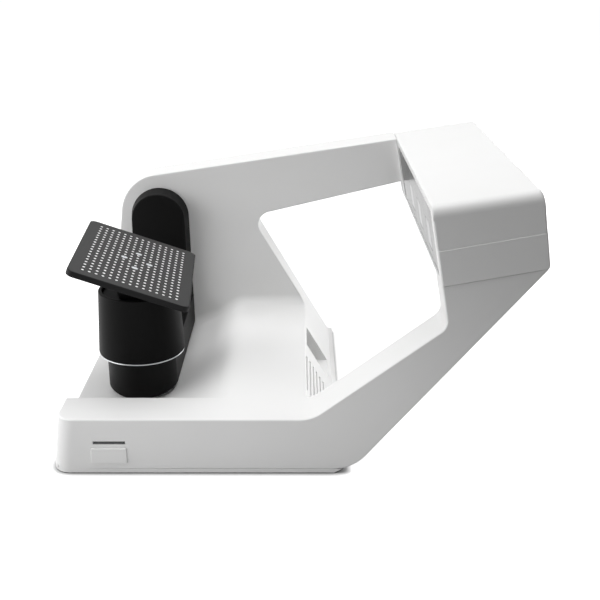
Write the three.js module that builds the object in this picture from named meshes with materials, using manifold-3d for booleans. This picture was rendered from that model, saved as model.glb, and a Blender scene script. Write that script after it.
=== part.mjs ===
// Desktop 3-D scanner: an open white frame, a swing arm with a turntable and a dotted plate.
// Millimetres, +Z up, +Y to the back. The origin is under the middle of the whole object.
import * as THREE from 'three';
import { mergeVertices } from 'three/addons/utils/BufferGeometryUtils.js';
import Module from 'manifold-3d';

const wasm = await Module();
wasm.setup();

// Overall sizes of the casing
const casingWidth = 348.6;
const casingDepth = 272;
const footHeight = 3;
const frontFrameDepth = 35.2;
const wallDepth = 34;
const deckHeight = 40.6;

// Front frame and strut
const heelLength = 218.7;
const heelRadius = 32;
const rimLength = 188.3;
const rimRadius = 27;
const elbowDrop = 30.4;
const elbowRadius = 10;
const sideLean = THREE.MathUtils.degToRad(7.5);
const planRadius = 8.5;

// Head
const headTilt = THREE.MathUtils.degToRad(10.25);
const headWidth = 73.1;
const headFlare = 0.9;
const headLeftHeight = 56;
const headTaper = 2.2;
const headSeamHeight = 25.2;
const headRound = 8;
const noseRadius = 7;
const headEdgeRadius = 3;
const headEyebrowRadius = 1.5;

// Back wall and beam
const slopeFootLength = 208.8;
const slopeAngle = THREE.MathUtils.degToRad(30.3);
const throatHeight = 124.9;
const throatRadius = 12;
const beamRise = THREE.MathUtils.degToRad(13.4);
const shoulderRadius = 37;
const coveRadius = 8;

// Swing pivot and trough
const pivotInset = 52.6;
const pivotCover = 38.53;
const troughFloor = 15.7;
const troughRadius = 110;
const troughLipRadius = 27;
const scanAxisDepth = 104.2;

// Walls and clearances
const shellWall = 3;
const sideWall = 4;
const rearLip = 5;
const gap = 0.3;
const seamGap = 0.3;
const overrun = 20;
const hair = 0.01;
const arcStep = Math.PI / 18;

// Power button and indicator
const buttonWidth = 26.7;
const buttonHeight = 12.4;
const buttonProud = 1.2;
const buttonTravel = 1.5;
const buttonInset = 28.7;
const buttonFloor = 5.6;
const buttonCorner = 1;
const indicatorWidth = 23;
const indicatorHeight = 2.3;
const indicatorFloor = 20.9;

const left = -casingWidth / 2;
const right = casingWidth / 2;
const front = (buttonProud - casingDepth) / 2;
const wallFront = casingDepth - wallDepth;
const pivotX = left + pivotInset;
const pivotHeight = troughFloor + troughRadius;
const headRightHeight = headLeftHeight - headTaper;
const slopeFootX = left + slopeFootLength;

// Finishes: colour, roughness, metalness
const finishes = {
  whiteShell: [0xf0f1f2, 0.42, 0],
  blackShell: [0x17181a, 0.4, 0],
  plateBlack: [0x4a4b4d, 0.6, 0],
  rubber: [0x1c1c1d, 0.85, 0],
  glass: [0x0c1014, 0.08, 0],
  aluminium: [0xc9cccf, 0.3, 0.9],
  steel: [0x9fa3a7, 0.35, 1],
  board: [0x1f5a3a, 0.55, 0],
  motorBlack: [0x242527, 0.5, 0.3],
  smoke: [0x2b2d30, 0.15, 0],
};

function solidOf(geometry) {
  const bare = geometry.clone();
  bare.deleteAttribute('normal');
  bare.deleteAttribute('uv');
  const merged = mergeVertices(bare);
  const corners = merged.index.array;
  const kept = [];
  for (let i = 0; i < corners.length; i += 3) {
    const [a, b, c] = corners.slice(i, i + 3);
    if (a !== b && b !== c && c !== a) {
      kept.push(a, b, c);
    }
  }
  return new wasm.Manifold(new wasm.Mesh({
    numProp: 3,
    vertProperties: Float32Array.from(merged.attributes.position.array),
    triVerts: Uint32Array.from(kept),
  }));
}

function geometryOf(solid) {
  const mesh = solid.getMesh();
  const geometry = new THREE.BufferGeometry();
  geometry.setAttribute('position', new THREE.BufferAttribute(mesh.vertProperties, 3));
  geometry.setIndex(new THREE.BufferAttribute(mesh.triVerts, 1));
  geometry.computeVertexNormals();
  return geometry;
}

function addNode(parent, name, solid, finish) {
  const [color, roughness, metalness] = finishes[finish];
  const material = new THREE.MeshStandardMaterial({ color, roughness, metalness });
  const mesh = new THREE.Mesh(geometryOf(solid), material);
  mesh.name = name;
  parent.add(mesh);
  return mesh;
}

function joined(solids) {
  return solids.reduce((sum, solid) => sum.add(solid));
}

function cutBy(solid, tools) {
  return tools.reduce((rest, tool) => rest.subtract(tool), solid);
}

// Outlines are lists of corners [x, y, radius], counterclockwise, rounded by tangent arcs.
function rounded(corners) {
  const points = [];
  corners.forEach(([x, y, radius = 0], i) => {
    const corner = new THREE.Vector2(x, y);
    if (radius === 0) {
      points.push(corner);
      return;
    }
    const before = corners[(i + corners.length - 1) % corners.length];
    const after = corners[(i + 1) % corners.length];
    const toBefore = new THREE.Vector2(before[0] - x, before[1] - y).normalize();
    const toAfter = new THREE.Vector2(after[0] - x, after[1] - y).normalize();
    const half = Math.acos(toBefore.dot(toAfter)) / 2;
    const centre = toBefore.clone().add(toAfter).normalize();
    centre.multiplyScalar(radius / Math.sin(half)).add(corner);
    const touch = toBefore.clone().multiplyScalar(radius / Math.tan(half)).add(corner);
    const start = touch.sub(centre).angle();
    const sweep = -Math.sign(toBefore.cross(toAfter)) * (Math.PI - 2 * half);
    points.push(...arc(centre.x, centre.y, radius, start, start + sweep));
  });
  return points;
}

function arcSteps(sweep) {
  return Math.max(1, Math.ceil(Math.abs(sweep) / arcStep));
}

function arc(x, y, radius, start, end, steps = arcSteps(end - start)) {
  return Array.from({ length: steps + 1 }, (_, k) => {
    const angle = start + (end - start) * k / steps;
    return new THREE.Vector2(x + radius * Math.cos(angle), y + radius * Math.sin(angle));
  });
}

// Every side of an outline moved inwards by a distance, its arcs kept concentric.
function inset(corners, distance) {
  const count = corners.length;
  const sides = corners.map(([x, y], i) => {
    const next = corners[(i + 1) % count];
    const along = new THREE.Vector2(next[0] - x, next[1] - y).normalize();
    return { x: x - along.y * distance, y: y + along.x * distance, along };
  });
  return corners.map(([, , radius = 0], i) => {
    const a = sides[(i + count - 1) % count];
    const b = sides[i];
    const turn = a.along.cross(b.along);
    const reach = ((b.x - a.x) * b.along.y - (b.y - a.y) * b.along.x) / turn;
    const newRadius = radius === 0 ? 0 : Math.max(radius - Math.sign(turn) * distance, 0);
    return [a.x + a.along.x * reach, a.y + a.along.y * reach, newRadius];
  });
}

// Extrusions: an outline in x, z along Y, and one in x, y along Z.
function alongZ(geometry, from) {
  return solidOf(geometry.translate(0, 0, from));
}

function alongY(geometry, to) {
  return solidOf(geometry.rotateX(Math.PI / 2).translate(0, to, 0));
}

function extruded(outline, depth) {
  return new THREE.ExtrudeGeometry(new THREE.Shape(outline), { depth, bevelEnabled: false });
}

function prismY(outline, from, to) {
  return alongY(extruded(outline, to - from), to);
}

function prismZ(outline, from, to) {
  return alongZ(extruded(outline, to - from), from);
}

// A tapered extrusion between two outlines with as many points each.
function lofted(lower, upper, height) {
  const count = lower.length;
  const positions = [];
  lower.forEach((point) => positions.push(point.x, point.y, 0));
  upper.forEach((point) => positions.push(point.x, point.y, height));
  const faces = [];
  for (let i = 0; i < count; i += 1) {
    const j = (i + 1) % count;
    faces.push(i, j, count + j, i, count + j, count + i);
  }
  THREE.ShapeUtils.triangulateShape(lower, []).forEach(([a, b, c]) => faces.push(a, c, b));
  THREE.ShapeUtils.triangulateShape(upper, []).forEach(([a, b, c]) => {
    faces.push(count + a, count + b, count + c);
  });
  const geometry = new THREE.BufferGeometry();
  geometry.setAttribute('position', new THREE.Float32BufferAttribute(positions, 3));
  geometry.setIndex(faces);
  return geometry;
}

function loftY(frontOutline, from, backOutline, to) {
  return alongY(lofted(backOutline, frontOutline, to - from), to);
}

function boxSolid([x0, x1], [y0, y1], [z0, z1]) {
  const geometry = new THREE.BoxGeometry(x1 - x0, y1 - y0, z1 - z0);
  return solidOf(geometry.translate((x0 + x1) / 2, (y0 + y1) / 2, (z0 + z1) / 2));
}

function rodY(x, z, radius, from, to, sides = 32) {
  const geometry = new THREE.CylinderGeometry(radius, radius, to - from, sides);
  return solidOf(geometry.translate(x, (from + to) / 2, z));
}

function rodZ(x, y, radius, from, to, sides = 32) {
  const geometry = new THREE.CylinderGeometry(radius, radius, to - from, sides);
  return solidOf(geometry.rotateX(Math.PI / 2).translate(x, y, (from + to) / 2));
}

function rodX(y, z, radius, from, to, sides = 32) {
  const geometry = new THREE.CylinderGeometry(radius, radius, to - from, sides);
  return solidOf(geometry.rotateZ(-Math.PI / 2).translate((from + to) / 2, y, z));
}

// A turned solid about Z from a closed profile of [radius, height] corners.
function turned(profile, sides = 48) {
  const loop = profile.map(([radius, height]) => new THREE.Vector2(radius, height));
  if (THREE.ShapeUtils.isClockWise(loop)) {
    loop.reverse();
  }
  loop.push(loop[0].clone());
  return solidOf(new THREE.LatheGeometry(loop, sides).rotateX(Math.PI / 2));
}

function turnedAlongY(profile, sides) {
  return turned(profile, sides).rotate([-90, 0, 0]);
}

function ringY(outer, inner, from, to, sides = 40) {
  return rodY(0, 0, outer, from, to, sides)
    .subtract(rodY(0, 0, inner, from - overrun, to + overrun, sides));
}

// Places in the head's own frame: x into the head along the seam, z up its left face.
// Beam and head share one sloping top, which covers the pivot by a set height.
const headCornerX = right - headWidth * Math.cos(headTilt);
const topRun = (headWidth + headFlare) * Math.cos(headTilt)
  + (headLeftHeight - headRightHeight) * Math.sin(headTilt);
const topRise = (headWidth + headFlare) * Math.sin(headTilt)
  + (headRightHeight - headLeftHeight) * Math.cos(headTilt);
const topSlope = topRise / topRun;
const headLeftX = headCornerX - headLeftHeight * Math.sin(headTilt);
const headCornerHeight = pivotHeight + pivotCover + (headLeftX - pivotX) * topSlope
  - headLeftHeight * Math.cos(headTilt);

function headPoint(x, z) {
  return [
    headCornerX + x * Math.cos(headTilt) - z * Math.sin(headTilt),
    headCornerHeight + x * Math.sin(headTilt) + z * Math.cos(headTilt),
  ];
}

function headFrame(solid) {
  const tilt = THREE.MathUtils.radToDeg(headTilt);
  return solid.rotate([0, -tilt, 0]).translate([headCornerX, 0, headCornerHeight]);
}

// The slope at the right of the base: x out of it, z up along it, from its foot.
function slopeFrame(solid) {
  const angle = THREE.MathUtils.radToDeg(slopeAngle);
  return solid.rotate([0, -angle, 0]).translate([slopeFootX, 0, 0]);
}

function slopeX(z) {
  return slopeFootX - z * Math.tan(slopeAngle);
}

function sideX(z) {
  return left + z * Math.tan(sideLean);
}

// Outlines of the frame, in x and z
const headTopLeft = headPoint(0, headLeftHeight);
const headTopRight = headPoint(headWidth + headFlare, headRightHeight);

function topHeight(x) {
  return headTopLeft[1] + (x - headTopLeft[0]) * topSlope;
}

function frontOutline() {
  return [
    [left, 0],
    [left + heelLength, 0, heelRadius],
    [...headPoint(headWidth, 0), noseRadius],
    [...headTopRight, headEdgeRadius],
    [...headTopLeft, headEyebrowRadius],
    [...headPoint(0, -elbowDrop), elbowRadius],
    [left + rimLength, deckHeight, rimRadius],
    [sideX(deckHeight), deckHeight],
  ];
}

function wallOutline() {
  const lean = Math.tan(sideLean);
  const shoulder = (topHeight(left)) / (1 - lean * topSlope);
  return [
    [left, 0],
    [slopeFootX, 0],
    [slopeX(throatHeight), throatHeight, throatRadius],
    [right, throatHeight + (right - slopeX(throatHeight)) * Math.tan(beamRise)],
    [right, topHeight(right)],
    [sideX(shoulder), shoulder, shoulderRadius],
  ];
}

// The base between front frame and wall: slope, deck, and the trough that the arm swings in.
function baseOutline(offset) {
  const lipCentreX = pivotX + Math.sqrt((troughRadius + troughLipRadius) ** 2
    - (pivotHeight - deckHeight + troughLipRadius) ** 2);
  const lipCentreZ = deckHeight - troughLipRadius;
  const lipEnd = Math.atan2(pivotHeight - lipCentreZ, pivotX - lipCentreX);
  const troughEnd = -Math.PI / 2 - Math.acos(Math.abs(sideDrop()) / troughRadius);
  const slopeShift = offset / Math.cos(slopeAngle);
  const top = deckHeight - offset;
  const sideShift = offset / Math.cos(sideLean);
  const troughPoints = arc(pivotX, pivotHeight, troughRadius + offset, lipEnd - Math.PI, troughEnd);
  const end = troughPoints[troughPoints.length - 1];
  return [
    new THREE.Vector2(sideX(0) + sideShift, 0),
    new THREE.Vector2(slopeFootX - slopeShift, 0),
    new THREE.Vector2(slopeX(top) - slopeShift, top),
    ...arc(lipCentreX, lipCentreZ, troughLipRadius - offset, Math.PI / 2, lipEnd),
    ...troughPoints.slice(1, -1),
    new THREE.Vector2(sideX(end.y) + sideShift, end.y),
  ];
}

// How far under the pivot the trough runs out of the leaning side.
function sideDrop() {
  const lean = Math.tan(sideLean);
  const reach = pivotX - sideX(pivotHeight);
  const a = 1 + lean ** 2;
  const b = 2 * reach * lean;
  return (b + Math.sqrt(b ** 2 - 4 * a * (reach ** 2 - troughRadius ** 2))) / (2 * a);
}

// Every upright corner of the frame is rounded in plan, along the leaning left side.
function planBlock() {
  const tall = headTopRight[1] + overrun;
  const corners = (x) => rounded([
    [x - hair, -hair, planRadius],
    [right + overrun + x - left, -hair],
    [right + overrun + x - left, casingDepth + hair],
    [x - hair, casingDepth + hair, planRadius],
  ]);
  return alongZ(lofted(corners(left), corners(sideX(tall)), tall), 0);
}

// The rounded run from deck and trough up into the wall.
const coveSteps = 4;

function coveSolid() {
  const steps = Array.from({ length: coveSteps + 1 }, (_, k) => {
    const angle = Math.PI / 2 * k / coveSteps;
    return [coveRadius * (1 - Math.cos(angle)), coveRadius * (1 - Math.sin(angle))];
  });
  const slices = steps.slice(1).map(([riseTo, backTo], k) => {
    const [riseFrom, backFrom] = steps[k];
    const from = wallFront - backFrom - hair;
    return loftY(baseOutline(-riseFrom), from, baseOutline(-riseTo), wallFront - backTo);
  });
  return joined(slices).intersect(prismY(rounded(wallOutline()), 0, casingDepth));
}

// A block above the head's lower seam, in the head's frame
function headZone(from, to) {
  return headFrame(boxSolid(
    [-overrun, headWidth + overrun],
    [-overrun, casingDepth + overrun],
    [from, to],
  ));
}

function headSideZone(from) {
  return headFrame(boxSolid(
    [from, headWidth + overrun],
    [-overrun, casingDepth + overrun],
    [-elbowDrop, headLeftHeight + overrun],
  ));
}

// Screws share one size
const screwHeadRadius = 3;
const screwHeadHeight = 1.8;
const screwRadius = 1.5;
const screwLength = 10;
const screwBore = screwRadius + gap;
const screwSides = 10;

function screwSolid(length = screwLength) {
  return turned([
    [0, 0],
    [screwHeadRadius, 0],
    [screwHeadRadius, screwHeadHeight],
    [screwRadius, screwHeadHeight],
    [screwRadius, length],
    [0, length],
  ], screwSides);
}

// Bottom plate, its posts and its feet
const bottomPlateWall = 2.5;
const postRadius = 4;
const postInset = 20.5;
const postSlopeInset = 6.8;
const postSides = 20;
const postFrontDepth = 46;
const footRadius = 7;
const footInset = 15;
const footSeat = 1.2;

const postPlaces = [postFrontDepth, casingDepth - postFrontDepth].flatMap((depth) => [
  [left + postInset, depth],
  [slopeX(deckHeight) - postSlopeInset, depth],
]);

const footPlaces = [footInset, casingDepth - footInset].flatMap((depth) => [
  [left + footInset, depth],
  [slopeFootX - footInset - sideWall, depth],
]);

// Rear cover and its posts
const rearCoverWall = 3;
const rearCoverFace = casingDepth - rearCoverWall;
const rearPostRadius = 4;
const rearPostInset = 14;
const rearPostRise = 7;
const rearPostSlopeInset = 21;
const rearPostHeadInset = 28;
const rearPostDrop = 16.8;

function rearPlaces() {
  const shoulderZ = topHeight(pivotX);
  return [
    [sideX(deckHeight) + rearPostInset, deckHeight + rearPostRise],
    [slopeX(deckHeight) - rearPostSlopeInset, deckHeight + rearPostRise],
    [slopeX(shoulderZ) + rearPostInset, (throatHeight + shoulderZ) / 2 + rearPostRise],
    [headCornerX - rearPostHeadInset, topHeight(headCornerX) - rearPostDrop],
  ];
}

// Swing drive, in the wall
const hubWall = 4.7;
const hubDepth = 16;
const hubFloor = 1.5;
const shaftRadius = 5;
const bearingRadius = 11;
const bearingWidth = 7;
const pulleyRadius = 24;
const pulleyFlangeRise = 1.5;
const pulleyWidth = 8;
const pulleyFlangeWidth = 1;
const pinionRadius = 6;
const beltWall = 1.6;
const motorSide = 35;
const motorDepth = 15.5;
const motorShaftRadius = 2.5;
const motorCorner = 2.5;
const motorAcross = 52.9;
const motorDrop = 47.7;
const wallSkin = 4;

const wallInside = wallFront + wallSkin;
const ribFloor = bottomPlateWall + gap;
const hubBore = bearingRadius + gap;
const hubRadius = hubBore + hubWall;
const pulleyFlange = pulleyRadius + pulleyFlangeRise;
const hubEnd = wallInside + hubDepth;
const pulleyFront = hubEnd + 2 * gap;
const pulleyBack = pulleyFront + pulleyWidth;

// Pocket for the sockets, in the slope
const pocketFloor = 6.6;
const pocketDepth = 8.2;
const pocketTop = 38.5;
const pocketKink = 23.4;
const pocketFrom = 140.4;
const pocketTo = 180.6;
const pocketWall = 3;
const socketPitch = 18;
const inletRadius = 4.2;
const inletBore = 2.86;
const inletPin = 1.05;
const inletSide = 12;
const inletLength = 8;
const portWidth = 11.5;
const portHeight = 10.5;
const portRim = 1.5;
const socketRise = 21.5;

// Vent slots, in the slope
const ventCount = 6;
const ventPitch = 5.4;
const ventWidth = 2;
const ventFrom = 52;
const ventTo = 116;
const ventStart = 16.8;

function pocketOutline(grow) {
  const shift = (pocketDepth + grow) / Math.cos(slopeAngle);
  const kinkX = slopeX(pocketKink) - shift;
  return [
    new THREE.Vector2(slopeX(pocketFloor - grow) - shift, pocketFloor - grow),
    new THREE.Vector2(slopeX(pocketFloor - grow) + overrun, pocketFloor - grow),
    new THREE.Vector2(slopeX(pocketTop) + overrun, pocketTop + grow),
    new THREE.Vector2(kinkX, pocketTop + grow),
    new THREE.Vector2(kinkX, pocketKink),
  ];
}

function buttonOutline(grow, corner) {
  const from = left + buttonInset - grow;
  return rounded([
    [from, buttonFloor - grow, corner],
    [from + buttonWidth + 2 * grow, buttonFloor - grow, corner],
    [from + buttonWidth + 2 * grow, buttonFloor + buttonHeight + grow, corner],
    [from, buttonFloor + buttonHeight + grow, corner],
  ]);
}

function indicatorBox(grow, from, to) {
  const start = left + buttonInset + (buttonWidth - indicatorWidth) / 2;
  return boxSolid(
    [start - grow, start + indicatorWidth + grow],
    [from, to],
    [indicatorFloor - grow, indicatorFloor + indicatorHeight + grow],
  );
}

const boardDepth = 11;
const boardWall = 1.6;
const boardPostRadius = 2.6;
const boardMargin = 6;

const boardPostPlaces = [-boardMargin, buttonWidth + boardMargin].map((x) => [
  left + buttonInset + x,
  indicatorFloor + indicatorHeight,
]);

// Ribs under the deck, which follow the shell from the left side to the slope
const ribWall = 2;
const ribHeight = 2.2;
const ribPitch = 62;
const ribCount = 3;

function baseRibs() {
  return joined(Array.from({ length: ribCount }, (_, k) => {
    const from = frontFrameDepth + ribPitch * k;
    const to = from + ribWall;
    const outer = prismY(baseOutline(shellWall / 2), from, to);
    const inner = prismY(baseOutline(shellWall + ribHeight), from - overrun, to + overrun);
    return cutBy(outer, [inner, boxSolid([left, right], [from - overrun, to + overrun], [-hair, ribFloor])]);
  }));
}

function housingBays() {
  const bay = baseOutline(shellWall);
  const deepened = bay.map((point) => new THREE.Vector2(point.x, point.y === 0 ? -hair : point.y));
  const base = prismY(deepened, shellWall, casingDepth - shellWall);
  const rim = boxSolid(
    [sideX(deckHeight) + sideWall, slopeX(deckHeight) - sideWall],
    [shellWall, frontFrameDepth - shellWall],
    [-overrun, deckHeight - shellWall],
  );
  const wall = prismY(rounded(inset(wallOutline(), rearLip)), wallInside, casingDepth + overrun);
  return joined([base, rim, wall]);
}

function mainHousing() {
  const strut = prismY(rounded(frontOutline()), 0, frontFrameDepth);
  const base = prismY(baseOutline(0), frontFrameDepth - hair, wallFront + hair);
  const wall = prismY(rounded(wallOutline()), wallFront, casingDepth);
  const outer = joined([strut, base, wall, coveSolid()]).intersect(planBlock());
  const pocketBlock = prismY(pocketOutline(pocketWall), pocketFrom - pocketWall, pocketTo + pocketWall);
  const posts = postPlaces.map(([x, y]) => (
    rodZ(x, y, postRadius, bottomPlateWall + gap, deckHeight - shellWall, postSides)
  ));
  const rearPosts = rearPlaces().map(([x, z]) => (
    rodY(x, z, rearPostRadius, wallFront, rearCoverFace - gap, postSides)
  ));
  const boardPosts = boardPostPlaces.map(([x, z]) => (
    rodY(x, z, boardPostRadius, 0, boardDepth - gap, screwSides)
  ));
  const hub = rodY(pivotX, pivotHeight, hubRadius, wallFront, hubEnd, 40);
  const kept = joined([pocketBlock, baseRibs(), ...posts, ...rearPosts, ...boardPosts, hub]);
  const bays = housingBays().subtract(kept);
  const shell = outer.subtract(bays);
  const cuts = [
    headZone(-seamGap, headLeftHeight + overrun).intersect(headBlockRoom(-overrun, wallFront - hair)),
    headSideZone(-seamGap).intersect(headBlockRoom(wallFront - overrun, casingDepth + overrun)),
    prismY(pocketOutline(0), pocketFrom, pocketTo),
    slopeFrame(socketHoles()),
    slopeFrame(ventSlots()),
    prismY(buttonOutline(gap, buttonCorner + gap), -overrun, shellWall + hair),
    indicatorBox(gap, -overrun, shellWall + hair),
    rodY(pivotX, pivotHeight, hubBore, wallFront + hubFloor, hubEnd + hair, 40),
    rodY(pivotX, pivotHeight, shaftRadius + 2 * gap, -overrun + wallFront, hubEnd, 40),
    ...postPlaces.map(([x, y]) => rodZ(x, y, screwBore, 0, screwLength + gap, screwSides)),
    ...rearPlaces().map(([x, z]) => (
      rodY(x, z, screwBore, casingDepth - screwLength - gap, casingDepth, screwSides)
    )),
    ...headScrewBores(),
  ];
  return cutBy(shell, cuts);
}

function headBlockRoom(from, to) {
  return boxSolid([-overrun, right + overrun], [from, to], [0, headTopRight[1] + overrun]);
}

function socketHoles() {
  const middle = (pocketFrom + pocketTo) / 2;
  const inner = -pocketDepth - pocketWall - hair;
  const outer = -pocketDepth + hair;
  const inletHole = rodX(middle - socketPitch / 2, socketRise, inletRadius + gap, inner, outer, 24);
  const portHole = boxSolid(
    [inner, outer],
    [middle + (socketPitch - portWidth) / 2 - gap, middle + (socketPitch + portWidth) / 2 + gap],
    [socketRise - portHeight / 2 - gap, socketRise + portHeight / 2 + gap],
  );
  return inletHole.add(portHole);
}

function ventSlots() {
  return joined(Array.from({ length: ventCount }, (_, k) => boxSolid(
    [-shellWall - sideWall, overrun],
    [ventFrom, ventTo],
    [ventStart + k * ventPitch, ventStart + k * ventPitch + ventWidth],
  )));
}

// Head: a tray under the seam and a cover over it
const headWall = 3;
const headScrewShares = [0.28, 0.72];
const bezelWall = 2.8;
const bezelInset = 0.4;
const bezelFrom = 10;
const bezelBackInset = 5;
const bezelFloor = 3.6;
const bezelTopInset = 5.4;
const cableSlot = 16;

const bezelTo = wallFront - bezelBackInset;
const bezelTop = headLeftHeight - bezelTopInset;

function headScrewPlaces() {
  return headScrewShares.map((share) => [share * headWidth, frontFrameDepth / 2]);
}

function headScrewBores() {
  return headScrewPlaces().map(([x, y]) => headFrame(
    rodZ(x, y, screwBore, -screwLength, overrun, screwSides),
  ));
}

function headSection(offset) {
  const corners = [
    [...headPoint(0, -elbowDrop)],
    [...headPoint(headWidth, -elbowDrop)],
    [...headPoint(headWidth, 0)],
    [...headTopRight, headEdgeRadius],
    [...headTopLeft, headEyebrowRadius],
  ];
  return offset === 0 ? corners : inset(corners, offset);
}

// The head's outside: the nose follows the strut, and the long top edges are rounded.
function headOuter() {
  const nose = prismY(rounded(frontOutline()), 0, casingDepth);
  const top = headLeftHeight;
  const slope = Math.tan(headTilt) - topSlope;
  const side = rounded([
    [0, -elbowDrop],
    [casingDepth, -elbowDrop],
    [casingDepth, top, headRound],
    [0, top, headRound],
  ]);
  const profile = extruded(side, headWidth + 2 * overrun);
  profile.rotateX(Math.PI / 2).rotateZ(Math.PI / 2).translate(-overrun, 0, 0);
  profile.applyMatrix4(new THREE.Matrix4().makeShear(0, -slope, 0, 0, 0, 0));
  return nose.intersect(headFrame(solidOf(profile)));
}

function headShell(outside, from, to) {
  return outside.intersect(headZone(from, to));
}

function headCavity(floor) {
  const section = prismY(rounded(headSection(headWall)), headWall, casingDepth - headWall);
  return section.intersect(headZone(floor, headLeftHeight + overrun));
}

function bezelOpening() {
  return headFrame(boxSolid([-overrun, headWall + hair], [bezelFrom, bezelTo], [bezelFloor, bezelTop]));
}

function cableOpening() {
  const middle = headLeftHeight / 2;
  return headFrame(boxSolid(
    [-overrun, headWall + hair],
    [wallInside, rearCoverFace - gap],
    [middle - cableSlot / 2, middle + cableSlot / 2],
  ));
}

// Optics on their rail, placed in the head's frame
const railWall = 4;
const railFrom = 24;
const railBackInset = 22;
const railNear = 12;
const railFar = 62;
const aimHeight = 23.1;
const cameraSpread = 54;
const windowSide = 21;
const windowLip = 1.4;
const windowWall = 1.6;
const cameraSide = 28;
const cameraLength = 30;
const cameraFront = 30;
const barrelRadius = 8.5;
const barrelFront = 11;
const lensRadius = 6.4;
const lensWall = 2;
const projectorWidth = 44;
const projectorLength = 36;
const projectorFront = 25;
const projectorBarrel = 10.5;
const projectorLens = 8.2;

const railTo = wallFront - railBackInset;
const railTop = headWall + gap + railWall;

function opticsBezel() {
  const panel = boxSolid(
    [bezelInset, bezelInset + bezelWall],
    [bezelFrom + gap, bezelTo - gap],
    [bezelFloor + gap, bezelTop - gap],
  );
  const windows = windowDepths().flatMap((y) => {
    const half = windowSide / 2;
    const inner = half - windowLip;
    return [
      boxSolid([-overrun, bezelInset + windowWall + gap], [y - half, y + half],
        [aimHeight - half, aimHeight + half]),
      boxSolid([-overrun, overrun], [y - inner, y + inner], [aimHeight - inner, aimHeight + inner]),
    ];
  });
  return cutBy(panel, windows);
}

function windowDepths() {
  return [scanAxisDepth - cameraSpread, scanAxisDepth, scanAxisDepth + cameraSpread];
}

function windowPane() {
  const half = windowSide / 2 - gap;
  return boxSolid([bezelInset, bezelInset + windowWall], [-half, half], [-half, half]);
}

// A camera or the projector: a body, a barrel with a seat for its lens, on the line of sight
function opticsBody(width, height, bodyFront, length, barrel, lens) {
  const body = boxSolid([bodyFront, bodyFront + length], [-width / 2, width / 2], [-height / 2, height / 2]);
  const tube = rodX(0, 0, barrel, barrelFront, bodyFront + hair, 24);
  const seat = rodX(0, 0, lens + gap, -overrun, barrelFront + 2 * lensWall, 24);
  return body.add(tube).subtract(seat);
}

function lensSolid(radius) {
  const domes = 4;
  const arcPoints = Array.from({ length: domes + 1 }, (_, k) => {
    const share = k / domes;
    return [radius * share, lensWall * (1 - share ** 2) / 2];
  });
  const glass = turned([[0, -lensWall], ...arcPoints, [radius, -lensWall]], 16);
  return glass.rotate([0, -90, 0]).translate([barrelFront + lensWall - gap, 0, 0]);
}

// Drum on the arm's limb, with the spin motor inside
const armRadius = 26.2;
const armHalfWidth = 28;
const armBevel = 2.6;
const armThickness = 16.3;
const armClearance = 0.4;
const footClearance = 3;
const limbDrop = 75.7;
const drumRadius = 34.4;
const drumTaper = 2.7;
const drumHeight = 53.3;
const drumFloor = 1.8;
const drumWall = 2.5;
const drumRecess = 7;
const ringWall = 1.2;
const ringProud = 0.2;
const ringWidth = 5;
const baseDiscWall = 2.7;
const spinMotorSide = 40;
const spinMotorChamfer = 4;
const spinMotorHeight = 24;
const spindleRadius = 4;
const spindleHole = 10;
const spinBearingWidth = 7;
const drumLip = 3.5;
const turntableWall = 4.2;
const turntableEdge = 1;
const bearingLip = 0.8;

const armReach = troughRadius - footClearance;
const drumTopRadius = drumRadius - drumTaper;
const ringInner = drumRadius - ringWidth;
const turntableRadius = drumTopRadius - drumLip;
const recessHole = bearingRadius - bearingLip;

// Stand and dotted plate
const standRadius = 17;
const standFoot = 3;
const standWidth = 26;
const standDepth = 42;
const standFlare = 5;
const plateWidth = 92;
const plateLength = 128.4;
const plateWall = 4.5;
const plateCorner = 4;
const plateLean = THREE.MathUtils.degToRad(20.3);
const plateYaw = THREE.MathUtils.degToRad(4);
const plateScrewAcross = 10.1;
const plateScrewAlong = 17.5;
const plateScrewLength = 11;

// Arm outline about the pivot; the foot follows the trough.
function armOutline(shrink) {
  const radius = armRadius - shrink;
  const width = armHalfWidth - shrink;
  const footAngle = Math.asin(width / armReach);
  const startAngle = -Math.PI / 2 - footAngle;
  const footSteps = arcSteps(2 * armHalfWidth / armReach);
  return [
    ...arc(0, 0, armReach, startAngle, startAngle + 2 * footAngle, footSteps),
    ...arc(0, 0, radius, 0, Math.PI),
  ];
}

function swingArm() {
  const plateBack = wallFront - armClearance;
  const plateFront = plateBack - armThickness;
  const upright = loftY(armOutline(armBevel), plateFront, armOutline(0), plateBack);
  const limbSection = prismY(armOutline(0), 0, plateBack)
    .intersect(boxSolid([-casingWidth, casingWidth], [0, casingDepth], [-casingWidth, -limbDrop]));
  const limbFront = scanAxisDepth - armHalfWidth;
  const plan = rounded([
    [-armHalfWidth, limbFront, armHalfWidth - hair],
    [armHalfWidth, limbFront, armHalfWidth - hair],
    [armHalfWidth, plateBack],
    [-armHalfWidth, plateBack],
  ]);
  const limb = limbSection.intersect(prismZ(plan, -casingWidth, 0));
  const shaftSeat = rodY(0, 0, shaftRadius + gap, plateFront + shellWall, casingDepth, 32);
  return cutBy(upright.add(limb), [shaftSeat, footBevel(plateBack)]);
}

// The foot's back edge is cut to pass the rounded run between trough and wall.
function footBevel(plateBack) {
  const across = coveRadius - (troughRadius - armReach);
  const room = coveRadius - armClearance;
  const along = room - Math.sqrt(room ** 2 - across ** 2);
  return turnedAlongY([
    [armReach - across, plateBack],
    [armReach + across, plateBack - 2 * along],
    [armReach + across, casingDepth],
    [armReach - across, casingDepth],
  ], 180);
}

function swingShaft() {
  const start = wallFront - armClearance - armThickness + shellWall + gap;
  return rodY(0, 0, shaftRadius, start, pulleyBack + gap, 32);
}

function bearing(outer, inner, width, sides = 32) {
  return ringY(outer, inner + gap, 0, width, sides);
}

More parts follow.
